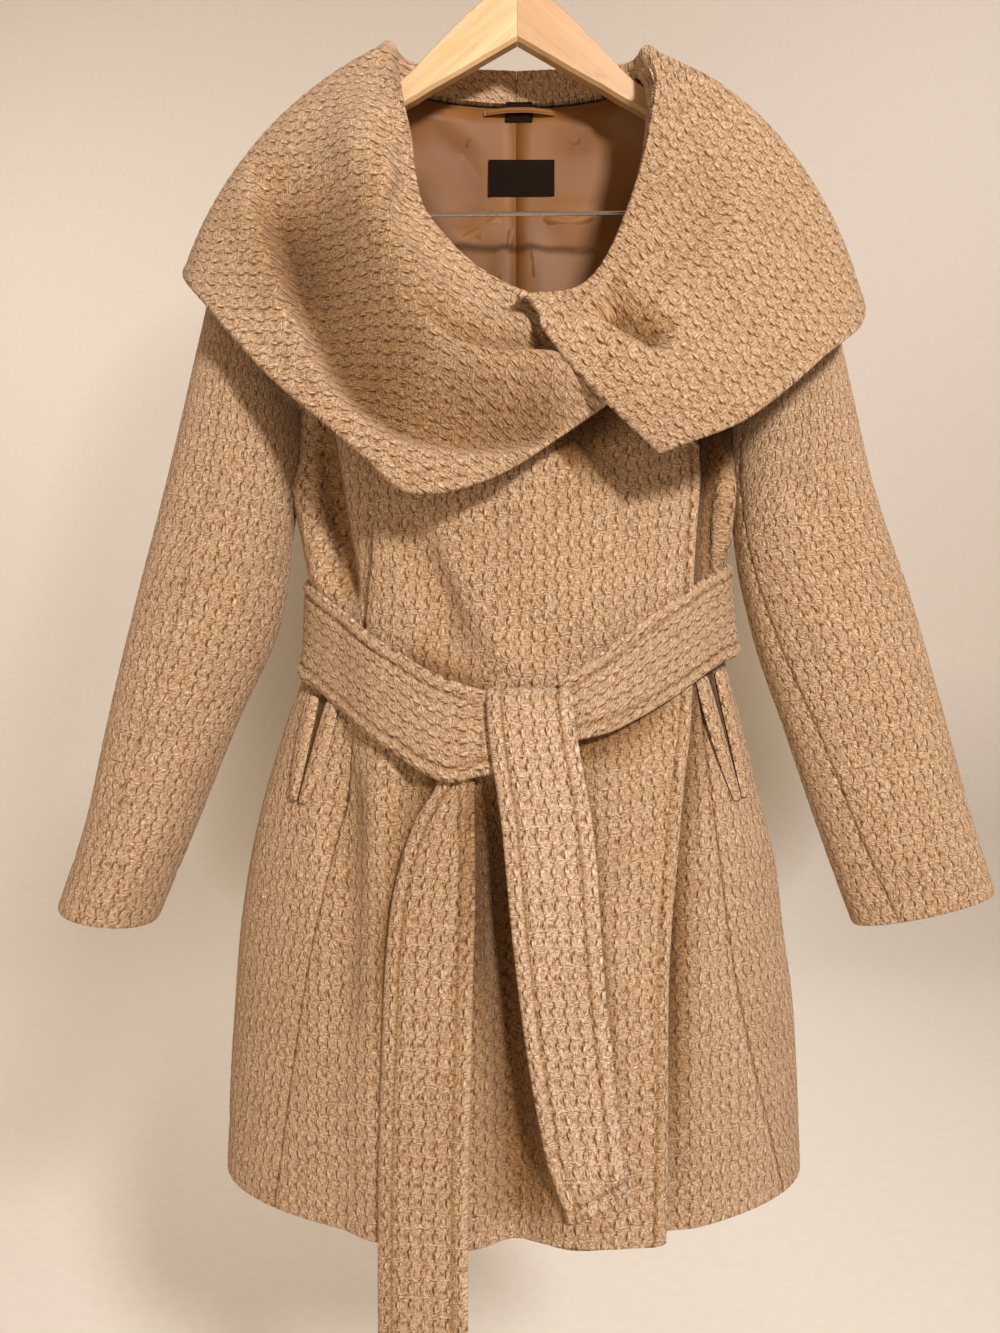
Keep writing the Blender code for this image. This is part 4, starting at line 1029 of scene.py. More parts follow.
def build_fronts():
    long = fit(PANEL_LENGTH)
    front("front_over", "front_over_centre", (princess("left", GAP), OVER_EDGE),
          (long, fit(0.24)), ("hem", "seam", "seam", "stitched"), OVER_FOLDS,
          ["hanger_arm_left", "front_under_centre"])
    front("front_over_side_panel", "front_over_side", (side_seam(-1), princess("left", -GAP)),
          (long, fit(0.15)), ("hem", "seam", "joined", "seam"), LEFT_FOLDS,
          ["hanger_arm_left"], "left")
    front("front_under", "front_under_centre", (HIDDEN_EDGE, princess("right", -GAP)),
          (fit(PANEL_LENGTH, COARSE), fit(0.26, COARSE)), ("hem", "seam", "stitched", "flat"), RIGHT_FOLDS,
          ["hanger_arm_right"])
    front("front_under_side_panel", "front_under_side", (princess("right", GAP), side_seam(1)),
          (long, fit(0.13)), ("hem", "seam", "flat", "joined"), RIGHT_FOLDS,
          ["hanger_arm_right"], "right")


build_fronts()


# %% [markdown]
# ## Back
#
# The back hangs nearly flat from the shoulders, in two panels with a seam down the middle. A few
# broad, shallow folds keep it from looking ironed.

# %% Back panels
def back_top(x):
    return np.where(np.abs(x) > NECK_X, shoulder_z(x),
                    lerp(BACK_NECK_Z, shoulder_z(NECK_X), (x / NECK_X) ** 2))


def back_grid(sign, counts, out=0.0, first=0.0, last=ROWS - 1.0, widest=1.0):
    """Rows from the side seam to the middle; above the underarm they rise to the shoulder."""
    level = levels_of(counts[0], [side_seam(sign)], first, last)
    _, share = height_and_share(level)
    side_z = side_seam(sign)(level)[1][:, None]
    share = share[:, None]
    near = widest - (widest * np.linspace(0, 1, 500)) ** 1.6
    x = half_width(side_z, sign) * near
    z = np.where(share > 0, lerp(UNDERARM_Z, back_top(x), share), side_z + 0 * x)
    x, = evenly(surface(turn_at(sign * x, z, True), z, sign, True), counts[1], x)
    z = np.where(share > 0, lerp(UNDERARM_Z, back_top(x), share), side_z + 0 * x)
    turn = turn_at(sign * x, z, True)
    points = on_coat(sign, turn, z, back=True, out=np.full(z.shape, out))[0]
    points[:, -1, 0] = sign * SEAM / 2
    return points


def build_back():
    for side, sign in SIGNS.items():
        grid = back_grid(sign, (fit(0.84, COARSE), fit(0.24, COARSE)))
        grid[:, 0, 1] += SEAM
        shape, shade = folded(grid, BACK_FOLDS)
        sew(f"back_{side}_panel", f"back_{side}", grid, (0, 1, 0), ("hem", "seam", "joined", "seam"),
            "hung", [f"hanger_arm_{side}"], straight_grain(grid), shape=shape + widened(grid, sign),
            shade=shade, backing=SATIN)


BACK_FOLDS = [
    fold(-4, 22, 22, (-60, -640), (-78, -820), (-90, -990), fade=(0.3, 0.0)),
    fold(-4, 22, 22, (70, -640), (88, -800), (104, -990), fade=(0.3, 0.0)),
    fold(3, 20, 20, (-30, -500), (-80, -530), (-130, -520)),
    fold(3, 20, 20, (30, -505), (85, -530), (130, -515))]
build_back()


# %% [markdown]
# ## Sleeves
#
# Each sleeve is a tube from the armhole to the cuff, in an upper and an under part, flattened
# by its own weight. Rings run round it, and the two seams cut the rings in two.

# %% Sleeve sections
SLEEVES = {
    "left": millimetres(
        "outer_x outer_z inner_x inner_z depth",
        (218, -258, 166, -405, 34), (226, -296, 167, -415, 37),
        (240, -360, 167, -440, 41), (261, -450, 169, -490, 42),
        (283, -535, 178, -556, 41), (303, -620, 210, -629, 41),
        (322, -708, 244, -713, 41), (341, -765, 271.5, -779, 40)),
    "right": millimetres(
        "outer_x outer_z inner_x inner_z depth",
        (220, -258, 164, -405, 34), (229, -296, 165, -418, 36),
        (244, -360, 164, -450, 38), (265, -450, 164, -501, 34),
        (295, -540, 178, -569, 31), (319, -625, 202, -640, 29),
        (344, -715, 233, -730, 27), (357.5, -756, 251.5, -781, 25))}
RINGS = 1 + len(SLEEVES["left"])
RING_STEPS = 2 * len(SHARES) - 2         # up the front of the armhole and down its back
SLEEVE_SEAMS = {"left": (4, 10), "right": (6, 12)}
SLEEVE_FINE = 0.0019


def sleeve_ring(side, place, steps):
    """Points of one ring at some of its steps, which run from the outer edge round by the front."""
    sign = SIGNS[side]
    if place == 0:
        z = lerp(UNDERARM_Z, shoulder_z(SHOULDER_HALF), np.array(SHARES))
        head = np.concatenate([surface(0.0, z[::-1], sign), surface(0.0, z[1:-1], sign, back=True)])
        head = head + np.array([sign * 0.0014, 0, -0.0006])
        low = np.floor(steps).astype(int)
        return lerp(head[low % RING_STEPS], head[(low + 1) % RING_STEPS], (steps - low)[:, None])
    section = SLEEVES[side][place - 1]
    angle = FULL_TURN * steps / RING_STEPS
    outer = np.array([sign * section["outer_x"], 0, section["outer_z"]])
    inner = np.array([sign * section["inner_x"], 0, section["inner_z"]])
    forward = np.stack([0 * angle, section["depth"] * np.sin(angle), 0 * angle], -1)
    return (outer + inner) / 2 + np.outer(np.cos(angle), (outer - inner) / 2) - forward


# %% Where the sleeve's seams run, and its folds
def sleeve_seams(side):
    """Ring steps of the front and the back seam at each ring."""
    front, back = SLEEVE_SEAMS[side]
    drift = np.array([0.0, 0.7, 1.4, 1.9, 1.7, 1.2, 0.7, 0.3, 0.0]) * (side == "right")
    return front + drift, np.full(RINGS, float(back))


SLEEVE_FOLDS = {
    "left": [
        fold(-3, 12, 14, (-212, -440), (-235, -490), (-262, -500)),
        fold(2.5, 14, 14, (-190, -520), (-220, -560), (-262, -580)),
        fold(-2.5, 10, 14, (-212, -600), (-245, -640), (-285, -640)),
        fold(2, 14, 14, (-250, -690), (-275, -730), (-300, -735))],
    "right": [
        fold(-3, 12, 14, (190, -440), (220, -480), (250, -485)),
        fold(2.5, 14, 14, (200, -545), (235, -575), (280, -575)),
        fold(-2.5, 10, 14, (225, -620), (255, -650), (300, -645)),
        fold(2, 14, 14, (260, -700), (290, -735), (330, -735))]}


def build_sleeves():
    for side, sign in SIGNS.items():
        front_seam, back_seam = sleeve_seams(side)
        around = 0.0
        for part, start, end in (("under", front_seam, back_seam),
                                 ("upper", back_seam, front_seam + RING_STEPS)):
            spare = np.array([-2, -1]) / 12
            columns = np.concatenate([spare, np.linspace(0, 1, 13), 1 - spare[::-1]])
            rings = [sleeve_ring(side, k, start[k] + (end[k] - start[k]) * columns)
                     for k in range(RINGS)]
            wide = fit(0.013 * float(np.mean(end - start)), SLEEVE_FINE)
            grid = refine(np.array(rings), (fit(0.56, SLEEVE_FINE), wide), beyond=2)
            centre = np.mean(sleeve_ring(side, RINGS // 2, np.arange(float(RING_STEPS))), axis=0)
            away = grid[len(grid) // 2, wide // 2] - centre
            across, along = run_of(grid, 1), run_of(grid, 0)
            flat = np.stack([across + around, along - along[-1:]], -1)
            around = float(flat[:, -1, 0].mean())
            kinds = ("seam", "hem", "fine", "fine") if sign < 0 else ("seam", "hem", "seam", "seam")
            inner = ramp(-grid[..., 0] * sign, -0.205, -0.165) * bell(grid[..., 2] + 0.425, 0.04)
            shape = folded(grid, SLEEVE_FOLDS[side])[0]
            shape = 0.0060 * inner + shape * ramp(-grid[..., 1], -0.005, 0.02)
            sew(f"sleeve_{side}_{part}_part", f"sleeve_{side}_{part}", grid, away, kinds, "hung",
                ["front_over_side" if sign < 0 else "front_under_side"], flat, shape=shape,
                backing=SATIN)


build_sleeves()


# %% [markdown]
# ## Collar
#
# The collar is a stand and a very wide fall, cut so that it drops over the shoulders as a cape.
# Each side is a loft through stations from the centre back to its front end.

# %% Collar stations
COLLAR_COLUMNS = "neck rx ry rz mx my mz fx fy fz ox oy oz"
COLLARS = {
    "left": millimetres(
        COLLAR_COLUMNS,
        (0.00, 0, 34, -118, 0, 54, -220, 0, 58, -335, 0, 1, 0),
        (0.55, -50, 31, -117, -80, 53, -215, -110, 60, -343, 0, 1, 0),
        (0.88, -82, 20, -118, -150, 48, -205, -205, 56, -330, -0.6, 0.8, 0.1),
        (1.00, -88, 0, -121, -185, 10, -188.5, -246, 12, -294, -1, 0, 0.3),
        (1.045, -86, -12, -142, -184, -37, -215, -240, -36, -310, -0.9, -0.4, 0.2),
        (1.10, -83, -22, -175, -162, -58, -260, -219, -62, -334, -0.7, -0.7, 0),
        (1.21, -75, -42, -228, -125, -73, -315, -170, -83, -390, -0.4, -0.9, 0),
        (1.38, -66, -54, -274, -95, -84, -350, -130, -93, -425, -0.2, -1, 0),
        (1.60, -28, -64, -318, -62, -94, -392, -96, -98, -455, 0, -1, 0),
        (1.78, 6, -70, -337, -28, -97, -416, -70, -100, -474, 0, -1, 0),
        (1.87, 30, -73, -352, 5, -96, -425, -15, -99, -463, 0, -1, 0),
        (1.94, 66, -74, -366, 69, -90, -390, 70, -90, -406, 0, -1, 0)),
    "right": millimetres(
        COLLAR_COLUMNS,
        (0.00, 0, 34, -118, 0, 54, -220, 0, 58, -335, 0, 1, 0),
        (0.55, 50, 31, -117, 85, 53, -215, 115, 60, -345, 0, 1, 0),
        (0.88, 85, 20, -119, 158, 48, -205, 212, 56, -345, 0.6, 0.8, 0.1),
        (1.00, 89, 0, -124, 193, 10, -189, 254, 12, -314, 1, 0, 0.3),
        (1.045, 88, -12, -144, 192, -36, -222, 250, -32, -330, 0.9, -0.4, 0.2),
        (1.09, 92, -22, -176, 176, -58, -270, 236, -60, -352, 0.7, -0.7, 0),
        (1.16, 89, -37, -212, 160, -74, -305, 205, -83, -378, 0.4, -0.9, 0),
        (1.26, 81, -48, -250, 130, -85, -335, 176, -94, -404, 0.2, -1, 0),
        (1.42, 61, -60, -302, 100, -101, -365, 144, -104, -428, 0, -1, 0),
        (1.60, 36, -76, -331, 70, -112, -388, 112, -110, -442, 0, -1, 0),
        (1.72, -5, -95, -342, 34, -114, -396, 90, -111, -450.5, 0, -1, 0))}
COLLAR_END_NECK = {"left": 1.94, "right": 1.60}
print("collar stations:", [len(table) for table in COLLARS.values()])


# %% From stations to rows of points
NECK_RISE = 0.0034
NECK_STEP = 0.0035
FALL_GAP = 0.0025
ROLL_RADIUS = 0.0075


def neck_point(side, place):
    """Place on the neckline: 0 centre back, 1 neck point, 2 the front end."""
    if place <= 1:
        x = SIGNS[side] * NECK_X * place
        z = float(back_top(x))
        point = surface(turn_at(x, z, True), z, SIGNS[side], True)
        point[1] *= ramp(1 - place, 0, 0.08)
        return point
    corners = []
    for row in OVER_NECKLINE if side == "left" else UNDER_NECKLINE:
        x, z = row["x"], row["z"]
        y = surface(turn_at(x, z), z, 1 if x > 0 else -1)[1] - (lap_lift(x, z) if side == "left" else 0)
        corners.append([x, y if row["share"] < 1 else 0.0, z])
    return np.array([np.interp(2 - place, SHARES, column) for column in zip(*corners)])


def clear_of_coat(points):
    """The fall lies outside the coat: points too near the body are moved out."""
    points = np.array(points, float)
    x, y, z = points[..., 0], points[..., 1], points[..., 2]
    sign = np.where(x > 0, 1, -1)
    over = (z > UNDERARM_Z - 0.05) & (np.abs(x) < half_width(z, sign)) & (z < shoulder_z(x) - 0.002)
    moved = points.copy()
    for back, here in ((True, over & (y > 0)), (False, over & (y <= 0))):
        if here.any():
            turn = turn_at(x[here], z[here], back)
            lift = 0.0 * z[here] if back else lap_lift(x[here], z[here])
            coat, outward = on_coat(sign[here], turn, z[here], back, lift, folds=False)
            off = ((points[here] - coat) * outward).sum(-1)
            moved[here] += outward * np.maximum(DOUBLED + FALL_GAP - off, 0.0)[:, None]
    return moved


def station_points(side, station):
    """From the neck seam up the stand, over the roll and down the fall to its free edge."""
    roll, middle, edge, away = (np.array([station[letter + axis] for axis in "xyz"], float)
                                for letter in "rmfo")
    neck = neck_point(side, station["neck"])
    hanging = ramp(station["neck"], COLLAR_END_NECK[side], COLLAR_END_NECK[side] + 0.12)
    up = unit(roll - neck)
    if station["neck"] > 1.04:
        x, z = neck[0], neck[2]
        away = on_coat(1 if x > 0 else -1, turn_at(x, z), z, folds=False)[1]
    away = unit(away - up * (away @ up))
    neck = neck + up * NECK_RISE - away * NECK_STEP
    neck = lerp(neck, roll - up * 1.4 * ROLL_RADIUS, hanging)
    foot = roll - up * ROLL_RADIUS
    centre = foot + away * ROLL_RADIUS
    points = [neck, (neck + foot) / 2]
    for k in range(4):
        angle = math.pi * k / 3
        spot = centre + (up * math.sin(angle) - away * math.cos(angle)) * ROLL_RADIUS
        points.append(clear_of_coat(spot) if k > 1.5 else spot)
    start = points[-1]
    pull = middle * 2 - (start + edge) / 2
    for t in (0.2, 0.4, 0.6, 0.8, 1.0):
        points.append(clear_of_coat(start * (1 - t)**2 + pull * 2 * t * (1 - t) + edge * t**2))
    return points


def station_between(table, where):
    """Catmull-Rom curve through the stations."""
    k = min(int(where), len(table) - 2)
    t = where - k
    four = [table[min(max(k + i, 0), len(table) - 1)] for i in (-1, 0, 1, 2)]
    mixed = {}
    for column in table[0]:
        p0, p1, p2, p3 = (row[column] for row in four)
        mixed[column] = 0.5 * (2 * p1 + (p2 - p0) * t + (2 * p0 - 5 * p1 + 4 * p2 - p3) * t**2
                               + (3 * p1 - p0 - 3 * p2 + p3) * t**3)
    return mixed


# %% The two collar halves
def bent(at, low, high):
    """Running sum of a slope that grows evenly from 0 at low to 1 at high."""
    t = np.clip(at - low, 0, high - low)
    return t * t / (2 * (high - low)) + np.maximum(at - high, 0)


def collar_grain(grid, side):
    """Flat places: the leaves lie level at the corners and turn down towards the front ends."""
    across = run_of(grid, 1)
    roll = int(np.argmin(np.abs(across.mean(0) - 0.045)))
    fall = across - across[:, roll:roll + 1]
    x, y, z = np.moveaxis(grid, -1, 0)
    if side == "left":
        u = z + 0.09 * x + 0.90 * bent(x, -0.115, 0.020) - 0.35 * y
        v = 0.85 * x + 0.20 * bent(x, -0.115, 0.020) - 0.60 * y
        return np.stack([u, -v], -1), fall
    steep = math.radians(46)
    w = x * math.cos(steep) - z * math.sin(steep)
    m = x * math.sin(steep) + z * math.cos(steep)
    u = m + 0.62 * (w - bent(w, 0.175, 0.245)) - 0.35 * y
    v = w + 0.15 * (w - bent(w, 0.175, 0.245)) + 0.60 * y
    return np.stack([u, -v], -1), fall


COLLAR_FOLDS = {
    "left": [
        # the fall's round crest, the hollow below it with painted shade, and the flange that kicks out past
        # the hollow
        fold(19, 28, 26, (-128, -160), (-106, -232), (-90, -285), (-73, -326), (-56, -358), (-30, -390),
             (5, -398), (60, -392), fade=(0.25, 0.02)),
        fold(-21, 38, 7.5, (-188, -205), (-177, -255), (-160, -305), (-144, -348), (-131, -375),
             (-113, -403), (-79, -430), (-46, -438), (0, -436), (40, -424), fade=(0.25, 0.10),
             dark=0.34),
        # painted shade alone, on the slope from the crest down into the hollow
        fold(0, 70, 3, (-177, -255), (-160, -305), (-144, -348), (-131, -375), (-113, -403),
             (-79, -430), (-46, -438), fade=(0.25, 0.35), dark=0.44),
        fold(0, 24, 24, (-172, -250), (-160, -305), (-142, -356), fade=(0.3, 0.3), dark=0.34),
        fold(5, 8, 14, (-200, -245), (-172, -318), (-150, -366), (-122, -408), (-98, -436),
             fade=(0.2, 0.3)),
        # the deep crease across the front, with painted shade in it, and the lit roll under it
        fold(-10, 15, 3.5, (-78, -338), (-58, -360), (-42, -376), (-18, -381), (10, -379), (36, -379),
             fade=(0.45, 0.05), dark=0.34),
        fold(3, 4, 8, (-50, -372), (-36, -385), (-12, -389), (30, -387), fade=(0.3, 0.1)),
        # the pit where the roll tucks under the other end, painted deep in shade
        fold(-8, 14, 3, (5, -348), (10.5, -362), (16.5, -377), fade=(0.4, 0.1), dark=0.80)],
    "right": [
        # the hollow beside the rolled end, with painted shade in it, and the band that rolls round it
        fold(-12.5, 16, 8, (36, -334), (49, -345), (62, -356), (78.5, -367.5), (89, -374), (100, -380),
             fade=(0.25, 0.20), dark=0.58),
        fold(5, 8, 10, (20, -342), (44, -362), (62, -379), (84, -400), fade=(0.3, 0.3)),
        # the soft valley down from the neck, with a little painted shade
        fold(-6, 14, 18, (140, -225), (120, -290), (98, -318), (68, -332), dark=0.06),
        fold(4, 20, 20, (170, -250), (150, -310), (120, -345))]}


def build_collars():
    for side, sign in SIGNS.items():
        table = COLLARS[side]
        steps = 2 * (len(table) - 1)
        coarse = np.array([station_points(side, station_between(table, k / 2)) for k in range(steps + 1)])
        grid = refine(coarse, (fit(0.60), fit(0.26)))
        grid[0, :, 0] = sign * SEAM / 2
        flat, fall = collar_grain(grid, side)
        before = ramp(-grid[..., 1], 0.0, 0.03) * ramp(fall, 0.0, 0.03)
        shape, shade = folded(grid, COLLAR_FOLDS[side])
        # The folds' painted shade shows on the front of the fall only, and the right half is painted a
        # little darker, as shade.
        shade = (1 - (1 - shade) * before) * (0.965 if sign > 0 else 1.0)
        panel = "front_over_centre" if sign < 0 else "front_under_centre"
        sew(f"collar_{side}_half", f"collar_{side}", grid, (0.1, 1, 0),
            ("fine", "pressed", "joined", "pressed"), "draped", [f"hanger_arm_{side}", panel], flat,
            thick=DOUBLED, shape=shape * before, shade=shade, density=1.12, spot=(2, -10))


build_collars()


# %% [markdown]
# ## Belt
#
# A sash of doubled cloth goes round the waist and is tied in front. It is one strip on the real
# coat, so its parts are lofts that share a width and a stitched edge.

# %% Belt lines
BELT_LEFT = millimetres(
    "x       z       half    lift",
    (-162, -552, 34.5, 1.2), (-155, -559.5, 35, 1.4),
    (-123, -584, 35, 2.5), (-80, -613, 34.5, 6),
    (-44, -633, 32.5, 8), (-20, -634.5, 25.5, 8),
    (-12, -634.5, 24, 8))
BELT_RIGHT = millimetres(
    "x      z       half    lift",
    (27, -620.5, 20, 8), (38.5, -615, 22.5, 8),
    (61, -602.5, 29, 6), (107, -574, 33.8, 2.5),
    (146, -549, 34.5, 1.4), (158, -545, 34, 1.2))
LONG_TAIL = millimetres(
    "z      left    right",
    (-645, -44, -30), (-664, -52.5, -31.5), (-684, -66, -31.5),
    (-710, -76.2, -31.2), (-744, -84.5, -31), (-780, -88.4, -32),
    (-860, -91.5, -33.8), (-950, -93.5, -35.5), (-1100, -93, -35))
FRONT_TAIL = millimetres(
    "z      left    right",
    (-602, -21.5, 33), (-635, -19, 37), (-689, -11, 45.7),
    (-715, -8.5, 48.3), (-775, -2.7, 52), (-857, 8.5, 60),
    (-918, 21.2, 66.5), (-946, 32, 70))
FRONT_TAIL_SLANT = 0.020
KNOT_TOP_Z = -0.602
KNOT_Z = -0.62
SASH_SIDES_X = (-0.1555, 0.1550)         # where the back of the sash joins its two halves


# %% The sash round the waist
FRONT_STEPS, BACK_STEPS = 12, 18         # columns along each part of the sash


def belt_column(x, z, half, lift, sign, back=False, turn=None):
    """Points up across the sash, at an x or, where the coat turns away, at a turn."""
    height = z + half * np.linspace(-1, 1, 5)
    here = np.full(5, turn) if turn is not None else turn_at(x, height, back)
    out = lift + DOUBLED + (0.0 if back else lap_lift(x, height))
    return on_coat(np.full(5, sign), here, height, back, np.broadcast_to(out, (5,)), folds=False)[0]


def build_sash():
    ends = []
    for (side, sign), table in zip(SIGNS.items(), (BELT_LEFT, BELT_RIGHT)):
        inner_x = table[-1]["x"] if sign < 0 else table[0]["x"]
        last = float(turn_at(inner_x, KNOT_Z))
        coarse = []
        for k in range(FRONT_STEPS + 1):
            turn = last * k / FRONT_STEPS
            x = float(surface(turn, WAIST_Z, sign, folds=False)[0])
            at = [float(read(table, "x", x, column)) for column in ("z", "half", "lift")]
            coarse.append(belt_column(x, *at, sign, turn=turn if k < 3 else None))
        ends.append(coarse[0])
        grid = refine(coarse, (fit(0.21), fit(0.068)))
        sew(f"sash_{side}", f"belt_{side}", grid, (0, -1, 0),
            ("joined", "turned", "stitched", "stitched"), "stretched", ["front_over_centre"],
            thick=DOUBLED)
    coarse = []
    left_z, right_z = (float(read(table, "x", x, "z"))
                       for table, x in zip((BELT_LEFT, BELT_RIGHT), SASH_SIDES_X))
    for k in range(BACK_STEPS + 1):
        around = math.pi * k / BACK_STEPS
        sign = -1 if around < math.pi / 2 else 1
        turn = around if sign < 0 else math.pi - around
        z = lerp(left_z, right_z, k / BACK_STEPS)
        half = lerp(BELT_WIDTH / 2, BELT_LEFT[0]["half"], abs(math.cos(around)) ** 3)
        column = belt_column(0, z, half, BELT_LEFT[0]["lift"], sign, True, turn)
        if k in (0, BACK_STEPS):
            column = ends[k // BACK_STEPS] + np.array([0, SEAM, 0])
        column[:, 0] = np.clip(column[:, 0], ends[0][:, 0] + 0.0006, ends[1][:, 0] - 0.0006)
        coarse.append(column)
    grid = refine(coarse, (fit(0.42, 0.0022), fit(0.062, 0.0022)))
    sew("sash_back", "belt_back", grid, (0, 1, 0), ("joined", "joined", "stitched", "stitched"),
        "stretched", ["back_left", "back_right"], thick=DOUBLED)


build_sash()


# %% Its two hanging ends
def tail_row(table, z, level, slant=0.0, width_from=None):
    """A row across a hanging end, that high over the front, with its width from its own or another z."""
    at = width_from or z
    x = lerp(read(table, "z", at, "left"), read(table, "z", at, "right"), np.linspace(0, 1, 4))
    height = max(z, HEM_Z + 0.001)
    y = surface(turn_at(x, height), height, np.where(x > 0, 1, -1), folds=False)[:, 1] - lap_lift(x, height)
    y = y - np.maximum(fold_depth(x, np.full(4, height)), 0.0)
    return np.stack([x, y - level, z + slant * np.linspace(0, 1, 4)], -1)


def build_tails():
    behind = DOUBLED + REST + 0.0006
    heights = (-0.645, -0.668, -0.69, -0.712, -0.745, -0.78, -0.83, -0.88, -0.93, -0.968, -1.03, -1.100)
    grid = refine([tail_row(LONG_TAIL, z, behind) for z in heights], (fit(0.456), fit(0.060)))
    across = np.linspace(0, 1, grid.shape[1])[None, :]
    # Painted shade on the long end's right part, where it turns away under the knot.
    painted_shade_right_part = 1 - 0.42 * ramp(across, 0.74, 0.96) * ramp(grid[..., 2], -0.86, -0.70)
    edges = ("turned", "stitched", "stitched", "stitched")
    sew("sash_long_end", "belt_tail_long", grid, (0, -1, 0), edges, "hung",
        ["belt_left", "front_over_centre"], thick=DOUBLED, shade=painted_shade_right_part)
    near, far = REST + 0.0004, 0.0205
    radius = (far - near) / 2
    centre_z = KNOT_TOP_Z - radius
    coarse = [tail_row(FRONT_TAIL, centre_z - 0.018, near, width_from=centre_z)]
    for k in range(7):
        angle = math.pi * k / 6
        coarse.append(tail_row(FRONT_TAIL, centre_z + radius * math.sin(angle),
                               near + radius * (1 - math.cos(angle)), width_from=centre_z))
    for z in (-0.64, -0.665, -0.69, -0.72, -0.76, -0.80, -0.84, -0.88, -0.918):
        coarse.append(tail_row(FRONT_TAIL, z, lerp(far, 0.0078, float(ramp(-z, 0.66, 0.80)))))
    coarse.append(tail_row(FRONT_TAIL, -0.946, 0.0078, slant=FRONT_TAIL_SLANT))
    grid = refine(coarse, (fit(0.39), fit(0.056)))
    # The front end is painted lighter, as the light falls on it more.
    sew("sash_front_end", "belt_tail_front", grid, (0, -1, 0), edges, "hung",
        ["belt_left", "belt_right", "front_over_centre"], thick=DOUBLED, shade=1.18)


build_tails()


# %% [markdown]
# ## Pockets
#
# A welt pocket is a slit between two narrow folded strips.

# %% Pocket welts
WELT_WIDTH = 0.0112
WELT = 0.0018


def build_welts():
    for pocket in POCKETS:
        side = pocket["side"]
        top = np.array([pocket["top_x"], pocket["top_z"]])
        foot = np.array([pocket["foot_x"], pocket["foot_z"]])
        along = unit(foot - top)
        aside = np.array([-along[1], along[0]])
        sign = SIGNS[side]
        for name, hand in (("front", 1), ("back", -1)):
            t = np.linspace(0, 1, fit(0.08, 0.0009))[:, None, None]
            m = np.linspace(0, 1, fit(0.008, 0.0007))[None, :, None]
            inner = pocket_opening(t)
            wide = WELT_WIDTH * (0.35 + 0.65 * np.sin(math.pi * (0.30 + 0.62 * t)))
            low, high = (inner, inner + wide) if hand * sign < 0 else (-inner - wide, -inner)
            x, z = np.moveaxis(lerp(top, foot, t) + aside * lerp(low, high, m), -1, 0)
            grid = on_coat(sign, turn_at(x, z), z, out=np.full(x.shape, 0.0010 + WELT))[0]
            round_form = 0.0018 * (1 - (2 * m[..., 0] - 1) ** 2) + 0 * t[..., 0]
            sew(f"pocket_{side}_{name}", f"welt_{side}_{name}", grid, (0, -1, 0), ("turned",) * 4,
                "stretched", ["front_over_side" if sign < 0 else "front_under_side"],
                thick=WELT, relief=0.0005, shape=round_form)


build_welts()


# %% [markdown]
# ## Lining, label and loop
#
# Inside the neck opening the brown satin lining of the back shows.

# %% Back lining
def build_lining():
    for side, sign in SIGNS.items():
        counts = fit(0.26, 0.0025), fit(0.20, 0.0025)
        grid = back_grid(sign, counts, -CLOTH - REST, float(LOW), ROWS - 2.0, 0.985)
        shape, shade = folded(grid, LINING_FOLDS)
        sew(f"lining_{side}", f"lining_back_{side}", grid, (0, -1, 0),
            ("turned", "joined", "turned", "joined"), "hung", [f"back_{side}"], straight_grain(grid),
            "satin", thick=-LINING, relief=0.0, material=SATIN, shape=shape, shade=shade)


LINING_FOLDS = [
    # an inverted pleat opens below the label, and soft drags run from it; painted shade lies in their
    # troughs and painted highlight on some ridges
    fold(4, 3.5, 7, (4, -228), (-7, -264), (-15, -330), fade=(0.2, 0.1), dark=0.18),
    fold(4, 7, 3.5, (4.5, -228), (12, -264), (19, -330), fade=(0.2, 0.1), dark=0.18),
    fold(-0.5, 1.8, 1.8, (4.2, -160), (4.2, -330), fade=(0.05, 0.05), dark=0.04),
    fold(4.5, 4, 10, (-52, -260), (-30, -247), (-6, -232), dark=-0.12),
    fold(4, 6, 11, (-76, -196), (-60, -232), (-40, -272), dark=0.14),
    fold(4, 5, 12, (64, -166), (50, -176), (36, -186), dark=0.14),
    fold(4.2, 4.5, 11, (70, -232), (42, -242), (14, -236), dark=-0.12),
    fold(-4, 10, 8, (60, -250), (45, -290), (35, -330), dark=0.16),
    fold(-3, 5, 5, (-60, -168), (-42, -190), (-26, -222), dark=0.16),
    fold(3.6, 6, 9, (-50, -160), (-40, -172), (-30, -180), dark=-0.10)]
build_lining()


# %% Label, size tab and hanging loop
LINING_FACE = CLOTH + REST + LINING


def within(x, z, depth):
    """Points on the inside of the back, that far below its outer face."""
    sign = np.where(x > 0, 1, -1)
    return on_coat(sign, turn_at(x, z, True), z, True, np.full(np.shape(x), -depth))[0]


def build_label():
    for name, node, xs, zs, thick in (
            ("bare_label", "neck_label", (-0.0218, 0.0294), (-0.2200, -0.1925), 0.0008),
            ("bare_tab", "size_tab", (-0.0090, 0.0126), (-0.1625, -0.1480), 0.0006)):
        x, z = np.meshgrid(np.linspace(*xs, fit(xs[1] - xs[0], 0.0013)),
                           np.linspace(*zs, fit(zs[1] - zs[0], 0.0013)))
        sew(name, node, within(x, z, LINING_FACE + REST + thick + 0.0006), (0, -1, 0),
            ("turned",) * 4, "laid", ["lining_back_left", "lining_back_right"], slot="label",
            thick=thick, relief=0.0, material=LABEL)


